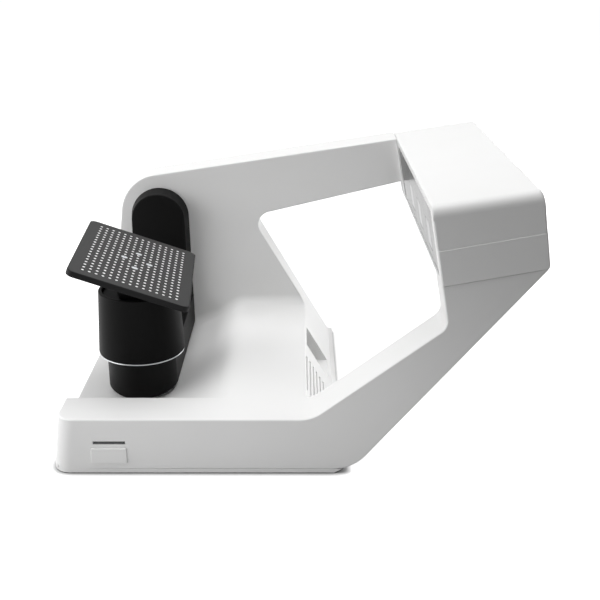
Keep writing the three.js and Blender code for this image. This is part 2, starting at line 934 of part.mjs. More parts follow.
function swingPulley() {
  const inner = pulleyWidth - pulleyFlangeWidth;
  const half = shaftRadius + gap;
  const profile = [
    [half, 0], [pulleyFlange, 0], [pulleyFlange, pulleyFlangeWidth], [pulleyRadius, pulleyFlangeWidth],
    [pulleyRadius, inner], [pulleyFlange, inner], [pulleyFlange, pulleyWidth], [half, pulleyWidth],
  ];
  return turnedAlongY(profile, 36).translate([0, pulleyFront, 0]);
}

function motorPinion() {
  const inner = pulleyWidth - pulleyFlangeWidth;
  const flange = pinionRadius + beltWall;
  const profile = [
    [0, -2 * gap], [motorShaftRadius, -2 * gap], [motorShaftRadius, 0],
    [flange, 0], [flange, pulleyFlangeWidth], [pinionRadius, pulleyFlangeWidth],
    [pinionRadius, inner], [flange, inner], [flange, pulleyWidth], [0, pulleyWidth],
  ];
  return turnedAlongY(profile, 24).translate([0, pulleyFront, 0]);
}

// The belt's outside or inside: two arcs joined by the tangents on both sides
function beltOutline(grow) {
  const big = pulleyRadius + gap + grow;
  const small = pinionRadius + gap + grow;
  const span = Math.hypot(motorAcross, motorDrop);
  const heading = Math.atan2(-motorDrop, motorAcross);
  const wrap = Math.acos((big - small) / span);
  return [
    ...arc(0, 0, big, heading + wrap, heading + 2 * Math.PI - wrap),
    ...arc(motorAcross, -motorDrop, small, heading - wrap, heading + wrap),
  ];
}

function swingBelt() {
  const from = pulleyFront + pulleyFlangeWidth + gap;
  const to = pulleyBack - pulleyFlangeWidth - gap;
  return prismY(beltOutline(beltWall), from, to)
    .subtract(prismY(beltOutline(0), from - overrun, to + overrun));
}

function swingMotor() {
  const half = motorSide / 2;
  const face = wallInside + gap;
  const section = rounded([
    [motorAcross - half, -motorDrop - half, motorCorner],
    [motorAcross + half, -motorDrop - half, motorCorner],
    [motorAcross + half, -motorDrop + half, motorCorner],
    [motorAcross - half, -motorDrop + half, motorCorner],
  ]);
  return prismY(section, face, face + motorDepth);
}

function drumShell() {
  const top = drumHeight;
  const floor = top - drumRecess;
  const boss = floor - drumWall - spinBearingWidth;
  return turned([
    [drumRadius, drumFloor],
    [drumTopRadius, top],
    [turntableRadius + 2 * gap, top],
    [turntableRadius + 2 * gap, floor],
    [recessHole, floor],
    [recessHole, floor - drumWall],
    [bearingRadius + gap, floor - drumWall],
    [bearingRadius + gap, boss],
    [bearingRadius + drumWall, boss],
    [bearingRadius + drumWall, floor - drumWall],
    [drumTopRadius - 2 * drumWall, floor - drumWall],
    [drumRadius - drumWall, drumFloor],
  ], 48);
}

function trimRing() {
  return turned([
    [ringInner, gap],
    [drumRadius + ringProud, gap],
    [drumRadius + ringProud, gap + ringWall],
    [ringInner, gap + ringWall],
  ], 48);
}

function spinMotor() {
  const half = spinMotorSide / 2;
  const base = 2 * gap + baseDiscWall;
  const cut = spinMotorChamfer;
  const section = [
    [-half + cut, -half], [half - cut, -half], [half, -half + cut], [half, half - cut],
    [half - cut, half], [-half + cut, half], [-half, half - cut], [-half, -half + cut],
  ].map(([x, y]) => new THREE.Vector2(x, y));
  const well = rodZ(0, 0, spindleRadius + gap, base + spinMotorHeight - spindleHole,
    base + spinMotorHeight + hair, 24);
  return prismZ(section, base, base + spinMotorHeight).subtract(well);
}

function spindle() {
  const from = 3 * gap + baseDiscWall + spinMotorHeight - spindleHole;
  return rodZ(0, 0, spindleRadius, from, drumHeight - drumRecess + gap, 24);
}

function turntable() {
  const floor = drumHeight - drumRecess + 2 * gap;
  return turned([
    [0, floor],
    [turntableRadius, floor],
    [turntableRadius, floor + turntableWall - turntableEdge],
    [turntableRadius - turntableEdge, floor + turntableWall],
    [0, floor + turntableWall],
  ], 40);
}

// The stand's sloped top lies against the plate; its foot stands on the turntable.
function plateStand() {
  const floor = standFloor();
  const foot = rodZ(0, 0, standRadius, floor, floor + standFoot, 40);
  const half = standWidth / 2;
  const reach = half + standFlare;
  const top = plateUnderside();
  const fall = Math.tan(plateLean);
  const profile = [
    [-half, floor + standFoot - hair], [half, floor + standFoot - hair],
    [reach, top - reach * fall], [-reach, top + reach * fall],
  ].map(([x, z]) => new THREE.Vector2(x, z));
  const wedge = prismY(profile, -standDepth / 2, standDepth / 2);
  const bores = plateScrewPlaces().map(([x, y]) => (
    plateFrame(rodZ(x, y, screwBore, -plateScrewLength - gap, overrun, screwSides))
  ));
  return cutBy(foot.add(wedge), bores);
}

function standFloor() {
  return drumHeight - drumRecess + 3 * gap + turntableWall;
}

// Height over the limb of the middle of the stand's sloped face
function plateUnderside() {
  return limbDrop - (plateWall + gap) / Math.cos(plateLean);
}

function plateFrame(solid) {
  return solid.rotate([0, THREE.MathUtils.radToDeg(plateLean), 0]).translate([0, 0, limbDrop]);
}

function plateScrewPlaces() {
  return [
    [plateScrewAcross, 0], [-plateScrewAcross, 0],
    [0, plateScrewAlong], [0, -plateScrewAlong],
  ];
}

function dottedPlate() {
  const halfX = plateWidth / 2;
  const halfY = plateLength / 2;
  const section = rounded([
    [-halfX, -halfY, plateCorner], [halfX, -halfY, plateCorner],
    [halfX, halfY, plateCorner], [-halfX, halfY, plateCorner],
  ]);
  const bores = plateScrewPlaces().flatMap(([x, y]) => [
    rodZ(x, y, screwBore, -overrun, overrun, screwSides),
    rodZ(x, y, screwHeadRadius + gap, -screwHeadHeight - gap, overrun, screwSides),
  ]);
  return cutBy(prismZ(section, -plateWall, 0), bores);
}

// Base electronics
const mainBoardWall = 1.6;
const mainBoardLift = 3.6;
const mainBoardFrom = 60;
const mainBoardTo = 176;
const mainBoardReach = 29.3;
const mainBoardInset = 8;
const standoffRadius = 2;
const chipHeight = 2.4;

function mainBoard() {
  const z = bottomPlateWall + mainBoardLift;
  const x0 = pivotX - mainBoardReach;
  const x1 = slopeX(deckHeight) - mainBoardInset;
  const card = boxSolid([x0, x1], [mainBoardFrom, mainBoardTo], [z, z + mainBoardWall]);
  const width = x1 - x0;
  const depth = mainBoardTo - mainBoardFrom;
  const chips = chipShares.map(([x, y, w, d]) => boxSolid(
    [x0 + x * width, x0 + (x + w) * width],
    [mainBoardFrom + y * depth, mainBoardFrom + (y + d) * depth],
    [z, z + mainBoardWall + chipHeight],
  ));
  return joined([card, ...chips]);
}

// Chips and plugs on the board: place and size as shares of the board
const chipShares = [
  [0.42, 0.4, 0.16, 0.2],
  [0.68, 0.15, 0.1, 0.16],
  [0.1, 0.2, 0.08, 0.4],
  [0.72, 0.7, 0.2, 0.12],
];

function bottomPlate() {
  const inner = shellWall + gap;
  const shift = shellWall / Math.cos(slopeAngle) + gap;
  const leftEdge = (z) => sideX(z) + shellWall / Math.cos(sideLean) + gap;
  const section = [
    [leftEdge(0), 0],
    [slopeX(0) - shift, 0],
    [slopeX(bottomPlateWall) - shift, bottomPlateWall],
    [leftEdge(bottomPlateWall), bottomPlateWall],
  ].map(([x, z]) => new THREE.Vector2(x, z));
  const plate = prismY(section, inner, casingDepth - inner);
  const cuts = [
    ...postPlaces.flatMap(([x, y]) => [
      rodZ(x, y, screwBore, -overrun, overrun, screwSides),
      rodZ(x, y, screwHeadRadius + gap, -overrun, screwHeadHeight / 2, screwSides),
    ]),
    ...footPlaces.map(([x, y]) => rodZ(x, y, footRadius + gap, -overrun, footSeat, 24)),
  ];
  const standoffs = boardStandoffs().map(([x, y]) => (
    rodZ(x, y, standoffRadius, bottomPlateWall - hair, bottomPlateWall + mainBoardLift - gap, screwSides)
  ));
  return cutBy(plate, cuts).add(joined(standoffs));
}

function boardStandoffs() {
  const x0 = pivotX - mainBoardReach + postRadius;
  const x1 = slopeX(deckHeight) - mainBoardInset - postRadius;
  return [mainBoardFrom + postRadius, mainBoardTo - postRadius].flatMap((y) => [[x0, y], [x1, y]]);
}

function rearCover() {
  const section = prismY(rounded(inset(wallOutline(), rearLip + gap)), rearCoverFace, casingDepth);
  const cuts = rearPlaces().flatMap(([x, z]) => [
    rodY(x, z, screwBore, wallFront, casingDepth + overrun, screwSides),
    rodY(x, z, screwHeadRadius + gap, casingDepth - screwHeadHeight - gap, casingDepth + overrun, screwSides),
  ]);
  return cutBy(section, [headSideZone(-gap), ...cuts]);
}

// Button, board behind it and the light pipe
const flangeGrow = 1;
const flangeWall = 1.4;
const stemSide = 5;
const switchSide = 6;
const switchHeight = 2.4;
const pressGap = buttonTravel + gap;

function powerButton() {
  const middleX = left + buttonInset + buttonWidth / 2;
  const middleZ = buttonFloor + buttonHeight / 2;
  const cap = prismY(buttonOutline(0, buttonCorner), -buttonProud, shellWall + 2 * gap);
  const flangeFrom = shellWall + gap;
  const flange = prismY(buttonOutline(flangeGrow, buttonCorner), flangeFrom, flangeFrom + flangeWall);
  const stemEnd = boardDepth - switchHeight - pressGap;
  const stem = boxSolid(
    [middleX - stemSide / 2, middleX + stemSide / 2],
    [shellWall, stemEnd],
    [middleZ - stemSide / 2, middleZ + stemSide / 2],
  );
  return joined([cap, flange, stem]);
}

function buttonBoard() {
  const [first, second] = boardPostPlaces;
  const middleX = left + buttonInset + buttonWidth / 2;
  const middleZ = buttonFloor + buttonHeight / 2;
  const card = boxSolid(
    [first[0] - boardPostRadius, second[0] + boardPostRadius],
    [boardDepth, boardDepth + boardWall],
    [buttonFloor, indicatorFloor + indicatorHeight + boardPostRadius],
  );
  const key = boxSolid(
    [middleX - switchSide / 2, middleX + switchSide / 2],
    [boardDepth - switchHeight, boardDepth + hair],
    [middleZ - switchSide / 2, middleZ + switchSide / 2],
  );
  return card.add(key);
}

// Sockets behind the pocket, in the slope's frame
function powerInlet() {
  const y = (pocketFrom + pocketTo - socketPitch) / 2;
  const inner = -pocketDepth - pocketWall - gap;
  const half = inletSide / 2;
  const body = boxSolid(
    [inner - inletLength, inner], [y - half, y + half], [socketRise - half, socketRise + half],
  );
  const nose = rodX(y, socketRise, inletRadius, inner - hair, -pocketDepth, 24);
  const bore = rodX(y, socketRise, inletBore, inner - inletLength / 2, overrun, 20);
  const pin = rodX(y, socketRise, inletPin, inner - inletLength / 2 - hair, -pocketDepth - gap, 8);
  return body.add(nose).subtract(bore).add(pin);
}

function dataPort() {
  const y = (pocketFrom + pocketTo + socketPitch) / 2;
  const wide = portWidth / 2;
  const tall = portHeight / 2;
  const inner = -pocketDepth - pocketWall - gap;
  const body = boxSolid(
    [inner - inletLength, -pocketDepth], [y - wide, y + wide], [socketRise - tall, socketRise + tall],
  );
  const mouth = boxSolid(
    [inner - inletLength / 2, overrun],
    [y - wide + portRim, y + wide - portRim],
    [socketRise - tall + portRim, socketRise + tall - portRim],
  );
  const tongue = boxSolid(
    [inner - inletLength / 2 - hair, -pocketDepth - gap],
    [y - wide + 2 * portRim, y + wide - 2 * portRim],
    [socketRise - portRim, socketRise + portRim],
  );
  return body.subtract(mouth).add(tongue);
}

// The assembly
const reach = Math.max(...rounded(frontOutline()).map((point) => point.x));
const casing = new THREE.Group();
casing.position.set(-(left + reach) / 2, front, footHeight);
addNode(casing, 'main_housing', mainHousing(), 'whiteShell');
addNode(casing, 'bottom_plate', bottomPlate(), 'whiteShell');
addNode(casing, 'rear_cover', rearCover(), 'whiteShell');

const headBlock = headOuter();
const tray = cutBy(headShell(headBlock, 0, headSeamHeight - seamGap / 2), [
  headCavity(headWall), bezelOpening(), cableOpening(), ...headScrewBores(),
]);
const cover = cutBy(headShell(headBlock, headSeamHeight + seamGap / 2, headLeftHeight + overrun), [
  headCavity(headWall), bezelOpening(), cableOpening(),
]);
addNode(casing, 'head_tray', tray, 'whiteShell');
addNode(casing, 'head_cover', cover, 'whiteShell');

footPlaces.forEach(([x, y], i) => {
  const foot = rodZ(0, 0, footRadius, -footHeight, footSeat - gap, 24);
  addNode(casing, `foot_${i + 1}`, foot, 'rubber').position.set(x, y, 0);
});
postPlaces.forEach(([x, y], i) => {
  const screw = screwSolid().translate([0, 0, -screwHeadHeight / 2]);
  addNode(casing, `bottom_screw_${i + 1}`, screw, 'steel').position.set(x, y, 0);
});
rearPlaces().forEach(([x, z], i) => {
  const screw = screwSolid().rotate([90, 0, 0]);
  addNode(casing, `rear_screw_${i + 1}`, screw, 'steel').position.set(x, casingDepth, z);
});

addNode(casing, 'power_button', powerButton(), 'whiteShell');
addNode(casing, 'indicator_strip', indicatorBox(0, gap, boardDepth - gap), 'smoke');
addNode(casing, 'button_board', buttonBoard(), 'board');
addNode(casing, 'main_board', mainBoard(), 'board');
addNode(casing, 'power_inlet', slopeFrame(powerInlet()), 'motorBlack');
addNode(casing, 'data_port', slopeFrame(dataPort()), 'steel');

// The head's own frame
const head = new THREE.Group();
head.position.set(headCornerX, 0, headCornerHeight);
head.rotation.y = -headTilt;
casing.add(head);
addNode(head, 'optics_bezel', opticsBezel(), 'blackShell');
['front_camera', 'projector', 'rear_camera'].forEach((name, i) => {
  const pane = addNode(head, `${name}_window`, windowPane(), 'glass');
  pane.position.set(0, windowDepths()[i], aimHeight);
});
headScrewPlaces().forEach(([x, y], i) => {
  const screw = screwSolid().rotate([180, 0, 0]);
  addNode(head, `head_screw_${i + 1}`, screw, 'steel').position.set(x, y, headWall + screwHeadHeight + gap);
});
const rail = boxSolid([railNear, railFar], [railFrom, railTo], [headWall + gap, railTop]);
addNode(head, 'optics_rail', rail, 'aluminium');

const scanDistance = Math.hypot(headCornerX - pivotX, headCornerHeight - pivotHeight);
const toeIn = Math.atan2(cameraSpread, scanDistance);
[['front_camera', -1], ['rear_camera', 1]].forEach(([name, side]) => {
  const camera = new THREE.Group();
  camera.position.set(0, scanAxisDepth + side * cameraSpread, aimHeight);
  camera.rotation.z = side * toeIn;
  head.add(camera);
  const height = 2 * (aimHeight - railTop - gap);
  const body = opticsBody(cameraSide, height, cameraFront, cameraLength, barrelRadius, lensRadius);
  addNode(camera, name, body, 'motorBlack');
  addNode(camera, `${name}_lens`, lensSolid(lensRadius), 'glass');
});
const projector = new THREE.Group();
projector.position.set(0, scanAxisDepth, aimHeight);
head.add(projector);
addNode(projector, 'projector', opticsBody(projectorWidth, 2 * (aimHeight - railTop - gap), projectorFront,
  projectorLength, projectorBarrel, projectorLens), 'motorBlack');
addNode(projector, 'projector_lens', lensSolid(projectorLens), 'glass');

// Everything about the swing pivot
const swing = new THREE.Group();
swing.position.set(pivotX, 0, pivotHeight);
casing.add(swing);
addNode(swing, 'swing_motor', swingMotor(), 'motorBlack');
addNode(swing, 'swing_belt', swingBelt(), 'rubber');
addNode(swing, 'motor_pinion', motorPinion(), 'aluminium').position.set(motorAcross, 0, -motorDrop);
addNode(swing, 'swing_arm', swingArm(), 'blackShell');
addNode(swing, 'swing_shaft', swingShaft(), 'steel');
addNode(swing, 'swing_pulley', swingPulley(), 'aluminium');
const bearingPlaces = [wallFront + hubFloor + gap, hubEnd - bearingWidth - gap];
bearingPlaces.forEach((y, i) => {
  const race = bearing(bearingRadius, shaftRadius, bearingWidth);
  addNode(swing, `swing_bearing_${i + 1}`, race, 'steel').position.set(0, y, 0);
});

const drum = new THREE.Group();
drum.position.set(0, scanAxisDepth, -limbDrop);
swing.add(drum);
addNode(drum, 'drum_trim_ring', trimRing(), 'aluminium');
addNode(drum, 'drum_base', rodZ(0, 0, ringInner - gap, gap, gap + baseDiscWall, 40), 'motorBlack');
addNode(drum, 'drum_shell', drumShell(), 'blackShell');
addNode(drum, 'spin_motor', spinMotor(), 'motorBlack');
const spinBearing = ringY(bearingRadius, spindleRadius + gap, 0, spinBearingWidth, 32).rotate([-90, 0, 0]);
addNode(drum, 'spin_bearing', spinBearing, 'steel').position.set(0, 0, drumHeight - drumRecess - drumWall);
addNode(drum, 'spindle', spindle(), 'steel');
addNode(drum, 'turntable', turntable(), 'blackShell');

const stage = new THREE.Group();
stage.rotation.z = plateYaw;
drum.add(stage);
addNode(stage, 'plate_stand', plateStand(), 'blackShell');
const plate = new THREE.Group();
plate.position.set(0, 0, limbDrop);
plate.rotation.y = plateLean;
stage.add(plate);
addNode(plate, 'dotted_plate', dottedPlate(), 'plateBlack');
plateScrewPlaces().forEach(([x, y], i) => {
  const screw = screwSolid(plateScrewLength).rotate([180, 0, 0]);
  addNode(plate, `plate_screw_${i + 1}`, screw, 'steel').position.set(x, y, 0);
});

const scanner = new THREE.Group();
scanner.add(casing);

export default scanner;
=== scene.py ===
# Desktop 3-D scanner. Lengths are named in millimetres and handed to Blender in metres.
import math

import bmesh
import bpy
from mathutils import Matrix, Vector


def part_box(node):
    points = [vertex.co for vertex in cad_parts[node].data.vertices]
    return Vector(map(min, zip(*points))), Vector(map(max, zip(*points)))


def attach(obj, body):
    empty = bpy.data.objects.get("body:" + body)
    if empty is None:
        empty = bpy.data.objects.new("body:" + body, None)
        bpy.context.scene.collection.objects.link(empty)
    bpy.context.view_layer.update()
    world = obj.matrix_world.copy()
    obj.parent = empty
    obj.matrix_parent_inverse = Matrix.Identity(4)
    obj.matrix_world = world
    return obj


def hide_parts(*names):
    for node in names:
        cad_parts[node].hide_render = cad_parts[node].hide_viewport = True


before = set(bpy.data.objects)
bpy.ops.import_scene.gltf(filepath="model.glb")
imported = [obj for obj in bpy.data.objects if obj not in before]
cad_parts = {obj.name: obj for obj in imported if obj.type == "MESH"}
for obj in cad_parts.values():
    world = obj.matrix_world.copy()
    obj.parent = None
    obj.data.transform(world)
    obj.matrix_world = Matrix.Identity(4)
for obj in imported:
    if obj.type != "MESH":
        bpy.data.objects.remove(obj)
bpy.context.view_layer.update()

MM = 0.001


# Camera: a product shot from the front and a little above. It stands 0.6 m in front of the frame and looks
# 20 degrees down, so that the edges run together as in the photograph.
focal_length = 56.64
camera_place = (6.4, -735.4, 359.2)
camera_pitch = math.radians(69.5)

camera_data = bpy.data.cameras.new("camera")
camera_data.lens = focal_length
camera = bpy.data.objects.new("camera", camera_data)
camera.location = [value * MM for value in camera_place]
camera.rotation_euler = (camera_pitch, 0, 0)
bpy.context.scene.collection.objects.link(camera)
bpy.context.scene.camera = camera


# Studio: a white table that runs on without an edge, lit from above, from the left and low from behind,
# with a weak strip close in front that brightens the base more than the head.
table_side = 60000
table_drop = 0.05
room_white = "FFFFFF"
table_white = "C8C8C8"
table_lift = 0.9
lift_from = 350
lift_to = 800
# The shadow under the object is painted into the table: an occlusion pass darkens its colour and glow within
# this reach, raised to this power.
painted_shadow_reach = 6
painted_shadow_depth = 2.8
room_strength = 0.04
lamp_target = (-20, 0, 80)


def srgb(code):
    """A hex colour as the shader's linear one."""
    shares = [int(code[i:i + 2], 16) / 255 for i in (0, 2, 4)]
    linear = [share / 12.92 if share <= 0.04045 else ((share + 0.055) / 1.055) ** 2.4 for share in shares]
    return (*linear, 1)


def add(tree, kind, links=None, **settings):
    made = tree.nodes.new(kind)
    for name, value in settings.items():
        setattr(made, name, value)
    for name, value in (links or {}).items():
        if isinstance(value, bpy.types.NodeSocket):
            tree.links.new(value, made.inputs[name])
        else:
            made.inputs[name].default_value = value
    return made


def new_object(name, mesh):
    made = bpy.data.objects.new(name, mesh)
    bpy.context.scene.collection.objects.link(made)
    return made


def background_rays(tree):
    """1 for a ray that shows the background: seen directly, in a reflection or through glass."""
    ray = add(tree, "ShaderNodeLightPath")
    straight = add(tree, "ShaderNodeMath", {0: ray.outputs["Is Camera Ray"], 1: ray.outputs["Is Glossy Ray"]},
                   operation="MAXIMUM")
    return add(tree, "ShaderNodeMath", {0: straight.outputs[0], 1: ray.outputs["Is Transmission Ray"]},
               operation="MAXIMUM")


world = bpy.data.worlds.new("room")
bpy.context.scene.world = world
world.use_nodes = True
tree = world.node_tree
tree.nodes.clear()
seen = background_rays(tree)
lit = add(tree, "ShaderNodeBackground", {"Color": srgb(room_white), "Strength": room_strength})
shown = add(tree, "ShaderNodeBackground", {"Color": srgb(room_white), "Strength": 1})
mixed = add(tree, "ShaderNodeMixShader", {0: seen.outputs[0], 1: lit.outputs[0], 2: shown.outputs[0]})
add(tree, "ShaderNodeOutputWorld", {"Surface": mixed.outputs[0]})

table_mesh = bpy.data.meshes.new("table_top")
half = table_side / 2 * MM
table_mesh.from_pydata(
    [(-half, -half, 0), (half, -half, 0), (half, half, 0), (-half, half, 0)], [], [(0, 1, 2, 3)])
table = new_object("table_top", table_mesh)
table.location.z = -table_drop * MM
paper = bpy.data.materials.new("white_paper")
paper.use_nodes = True
tree = paper.node_tree
tree.nodes.clear()
seen = background_rays(tree)
# Painted shadow: for seen rays the table's colour and glow are darkened by occlusion close to the object, on
# top of the lamps' own shadows.
painted_contact_shadow = add(tree, "ShaderNodeAmbientOcclusion", {
    "Color": srgb(table_white), "Distance": painted_shadow_reach * MM}, samples=16)
plain = add(tree, "ShaderNodeBsdfDiffuse", {"Color": srgb(table_white)})
matt = add(tree, "ShaderNodeBsdfDiffuse", {"Color": painted_contact_shadow.outputs["Color"]})
deep = add(tree, "ShaderNodeMath", {0: painted_contact_shadow.outputs["AO"], 1: painted_shadow_depth}, operation="POWER")
place = add(tree, "ShaderNodeNewGeometry")
away = add(tree, "ShaderNodeVectorMath", {0: place.outputs["Position"]}, operation="LENGTH")
fade = add(tree, "ShaderNodeMapRange", {
    "Value": away.outputs["Value"], "From Min": lift_from * MM, "From Max": lift_to * MM,
    "To Min": table_lift, "To Max": 1}, interpolation_type="SMOOTHSTEP")
lift = add(tree, "ShaderNodeMath", {0: fade.outputs["Result"], 1: deep.outputs[0]}, operation="MULTIPLY")
glow = add(tree, "ShaderNodeEmission", {"Color": srgb(room_white), "Strength": lift.outputs[0]})
lifted = add(tree, "ShaderNodeAddShader", {0: matt.outputs[0], 1: glow.outputs[0]})
mixed = add(tree, "ShaderNodeMixShader", {0: seen.outputs[0], 1: plain.outputs[0], 2: lifted.outputs[0]})
add(tree, "ShaderNodeOutputMaterial", {"Surface": mixed.outputs[0]})
table_mesh.materials.append(paper)

for name, width, height, power, place in (
    ("overhead_lamp", 900, 900, 7.9, (-20, 40, 990)),
    ("left_lamp", 800, 600, 2.9, (-700, -300, 400)),
    ("side_lamp", 500, 300, 0.85, (-560, -30, 260)),
    ("back_lamp", 500, 500, 4.4, (630, 630, 185)),
    ("low_front_lamp", 300, 60, 0.035, (-40, -230, 60)),
):
    lamp_data = bpy.data.lights.new(name, "AREA")
    lamp_data.shape = "RECTANGLE"
    lamp_data.size = width * MM
    lamp_data.size_y = height * MM
    lamp_data.energy = power
    lamp = bpy.data.objects.new(name, lamp_data)
    lamp.location = Vector(place) * MM
    lamp.rotation_euler = (Vector(lamp_target) - Vector(place)).to_track_quat("-Z", "Y").to_euler()
    bpy.context.scene.collection.objects.link(lamp)
bpy.context.scene.view_settings.view_transform = "Standard"


# Main housing: one white moulding, with the base, the front frame with its strut, the back wall and the beam.
# It is injection moulded in ABS, open underneath and behind, where two plates close it.
casing_width = 348.6
casing_depth = 272
front_frame_depth = 35.2
wall_depth = 34
deck_height = 40.6
heel_length = 218.7
heel_radius = 32
rim_length = 188.3
rim_radius = 27
elbow_drop = 30.4
elbow_radius = 10
side_lean = math.radians(7.5)
plan_radius = 8.5
front_plan_radius = 13
head_corner_height = 141.3
head_tilt = math.radians(10.25)
head_width = 73.1
head_flare = 0.9
head_left_height = 55.99
head_right_height = 53.79
nose_radius = 7
head_edge_radius = 3
head_eyebrow_radius = 1.5
slope_foot_length = 208.8
slope_angle = math.radians(30.3)
throat_height = 124.9
throat_radius = 12
beam_rise = math.radians(13.4)
shoulder_radius = 37
cove_radius = 8
cove_steps = 10
pivot_inset = 52.6
pivot_height = 125.7
trough_radius = 110
trough_lip_radius = 27
shell_wall = 3
side_wall = 4
rear_lip = 5
gap = 0.3
overrun = 20
margin = 1
hair = 0.01
arc_step = math.radians(3)
edge_radius = 1.3
crease = math.radians(32)
flat_within = math.radians(0.4)
smooth_below = math.radians(30)

left = -casing_width / 2
right = casing_width / 2
wall_front = casing_depth - wall_depth
pivot_x = left + pivot_inset
slope_foot_x = left + slope_foot_length
housing_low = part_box("main_housing")[0]
casing_place = (
    Matrix.Translation(housing_low - Vector((left * MM, 0, 0))) @ Matrix.Scale(MM, 4)
)


def arc(x, y, radius, start, end, count=None):
    """Points along an arc, closer than arc_step unless a count is given."""
    count = count or max(1, math.ceil(abs(end - start) / arc_step))
    angles = [start + (end - start) * k / count for k in range(count + 1)]
    return [(x + radius * math.cos(angle), y + radius * math.sin(angle)) for angle in angles]


def circle(x, y, radius, sides):
    return arc(x, y, radius, 0, math.tau, sides)[:-1]


def rounded(corners):
    """The corners (x, y, radius) of an outline, each radius made a tangent arc."""
    points = []
    for k, (x, y, *radius) in enumerate(corners):
        if not radius or radius[0] == 0:
            points.append((x, y))
            continue
        corner = Vector((x, y))
        before = (Vector(corners[k - 1][:2]) - corner).normalized()
        after = (Vector(corners[(k + 1) % len(corners)][:2]) - corner).normalized()
        half = before.angle(after) / 2
        centre = corner + (before + after).normalized() * radius[0] / math.sin(half)
        touch = corner + before * radius[0] / math.tan(half) - centre
        start = math.atan2(touch.y, touch.x)
        turn = before.x * after.y - before.y * after.x
        sweep = -math.copysign(math.pi - 2 * half, turn)
        points += arc(centre.x, centre.y, radius[0], start, start + sweep)
    return points


def inset(corners, distance):
    """Every side of an outline moved inwards, its arcs kept concentric."""
    count = len(corners)
    sides = []
    for k, (x, y, *_) in enumerate(corners):
        end = corners[(k + 1) % count]
        along = (Vector(end[:2]) - Vector((x, y))).normalized()
        sides.append((Vector((x - along.y * distance, y + along.x * distance)), along))
    shifted = []
    for k, (_, _, *radius) in enumerate(corners):
        start, before = sides[k - 1]
        other, after = sides[k]
        turn = before.x * after.y - before.y * after.x
        reach = ((other - start).x * after.y - (other - start).y * after.x) / turn
        point = start + before * reach
        old = radius[0] if radius else 0
        shifted.append((point.x, point.y, max(old - math.copysign(distance, turn), 0) if old else 0))
    return shifted


def loft(rings, ring_closed=False):
    """A closed body through rings of as many points each: capped at its ends, or closed into a loop."""
    body = bmesh.new()
    rows = [[body.verts.new(point) for point in ring] for ring in rings]
    pairs = list(zip(rows, rows[1:]))
    if ring_closed:
        pairs.append((rows[-1], rows[0]))
    for lower, upper in pairs:
        for k, corner in enumerate(lower):
            after = (k + 1) % len(lower)
            body.faces.new((corner, lower[after], upper[after], upper[k]))
    if not ring_closed:
        body.faces.new(rows[0][::-1])
        body.faces.new(rows[-1])
    bmesh.ops.recalc_face_normals(body, faces=body.faces)
    mesh = bpy.data.meshes.new("body")
    body.to_mesh(mesh)
    body.free()
    return new_object("body", mesh)


def prism_y(outline, start, end):
    return loft([[(x, depth, z) for x, z in outline] for depth in (start, end)])


def prism_z(outline, start, end):
    return loft([[(x, y, height) for x, y in outline] for height in (start, end)])


def rectangle(xs, ys, corner=0):
    return rounded([(xs[k], ys[j], corner) for k, j in ((0, 0), (1, 0), (1, 1), (0, 1))])


def block(xs, ys, zs):
    return prism_z(rectangle(xs, ys), *zs)


def rod(radius, start, end, sides=48):
    """A round bar about the Z axis."""
    return prism_z(circle(0, 0, radius, sides), start, end)


def placed(body, matrix):
    body.data.transform(matrix)
    return body


def moved(body, x, y, z):
    return placed(body, Matrix.Translation((x, y, z)))


def turn_to_y(body):
    return placed(body, Matrix.Rotation(-math.pi / 2, 4, "X"))


def carve(body, operation, *tools):
    """The body joined with, cut by or kept inside each tool, which is used up."""
    for tool in tools:
        modifier = body.modifiers.new("carve", "BOOLEAN")
        modifier.operation = operation
        modifier.object = tool
        modifier.solver = "MANIFOLD"
        scene_state = bpy.context.evaluated_depsgraph_get()
        mesh = bpy.data.meshes.new_from_object(body.evaluated_get(scene_state))
        body.modifiers.clear()
        body.data = mesh
        bpy.data.objects.remove(tool)
    return body


def soften(body, radius, steps=3, sharp_from=crease, where=lambda edge: True):
    """Rounds the body's sharp edges, or those of them that where picks."""
    mesh = bmesh.new()
    mesh.from_mesh(body.data)
    bmesh.ops.remove_doubles(mesh, verts=mesh.verts, dist=hair)
    bmesh.ops.dissolve_limit(mesh, angle_limit=flat_within, verts=mesh.verts, edges=mesh.edges)
    sharp = [
        edge for edge in mesh.edges
        if edge.is_manifold and edge.calc_face_angle() > sharp_from and where(edge)
    ]
    bmesh.ops.bevel(
        mesh, geom=sharp, offset=radius, segments=steps, profile=0.5, affect="EDGES", clamp_overlap=False)
    mesh.to_mesh(body.data)
    mesh.free()
    return body


def shown_as(body, name, material, rides, *nodes, slot=None, place=casing_place):
    """The body in metres, shaded smooth, as a named piece that stands for these CAD nodes."""
    body.name = name
    body.data.name = name
    body.data.transform(place)
    body.data.materials.clear()
    body.data.materials.append(material)
    body.data.shade_smooth()
    body.data.set_sharp_from_angle(angle=smooth_below)
    leveller = body.modifiers.new("flat_faces", "WEIGHTED_NORMAL")
    leveller.keep_sharp = True
    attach(body, rides)
    if nodes:
        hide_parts(*nodes)


def finish(name, color, roughness, metallic=0, index=1.5, gloss=0.5):
    """A material with the values that are even all over, its node tree, and the place on the piece."""
    made = bpy.data.materials.new(name)
    made.use_nodes = True
    shader = made.node_tree.nodes["Principled BSDF"]
    shader.inputs["Base Color"].default_value = srgb(color)
    shader.inputs["Roughness"].default_value = roughness
    shader.inputs["Metallic"].default_value = metallic
    shader.inputs["IOR"].default_value = index
    shader.inputs["Specular IOR Level"].default_value = gloss
    return made, made.node_tree, add(made.node_tree, "ShaderNodeTexCoord").outputs["Object"]


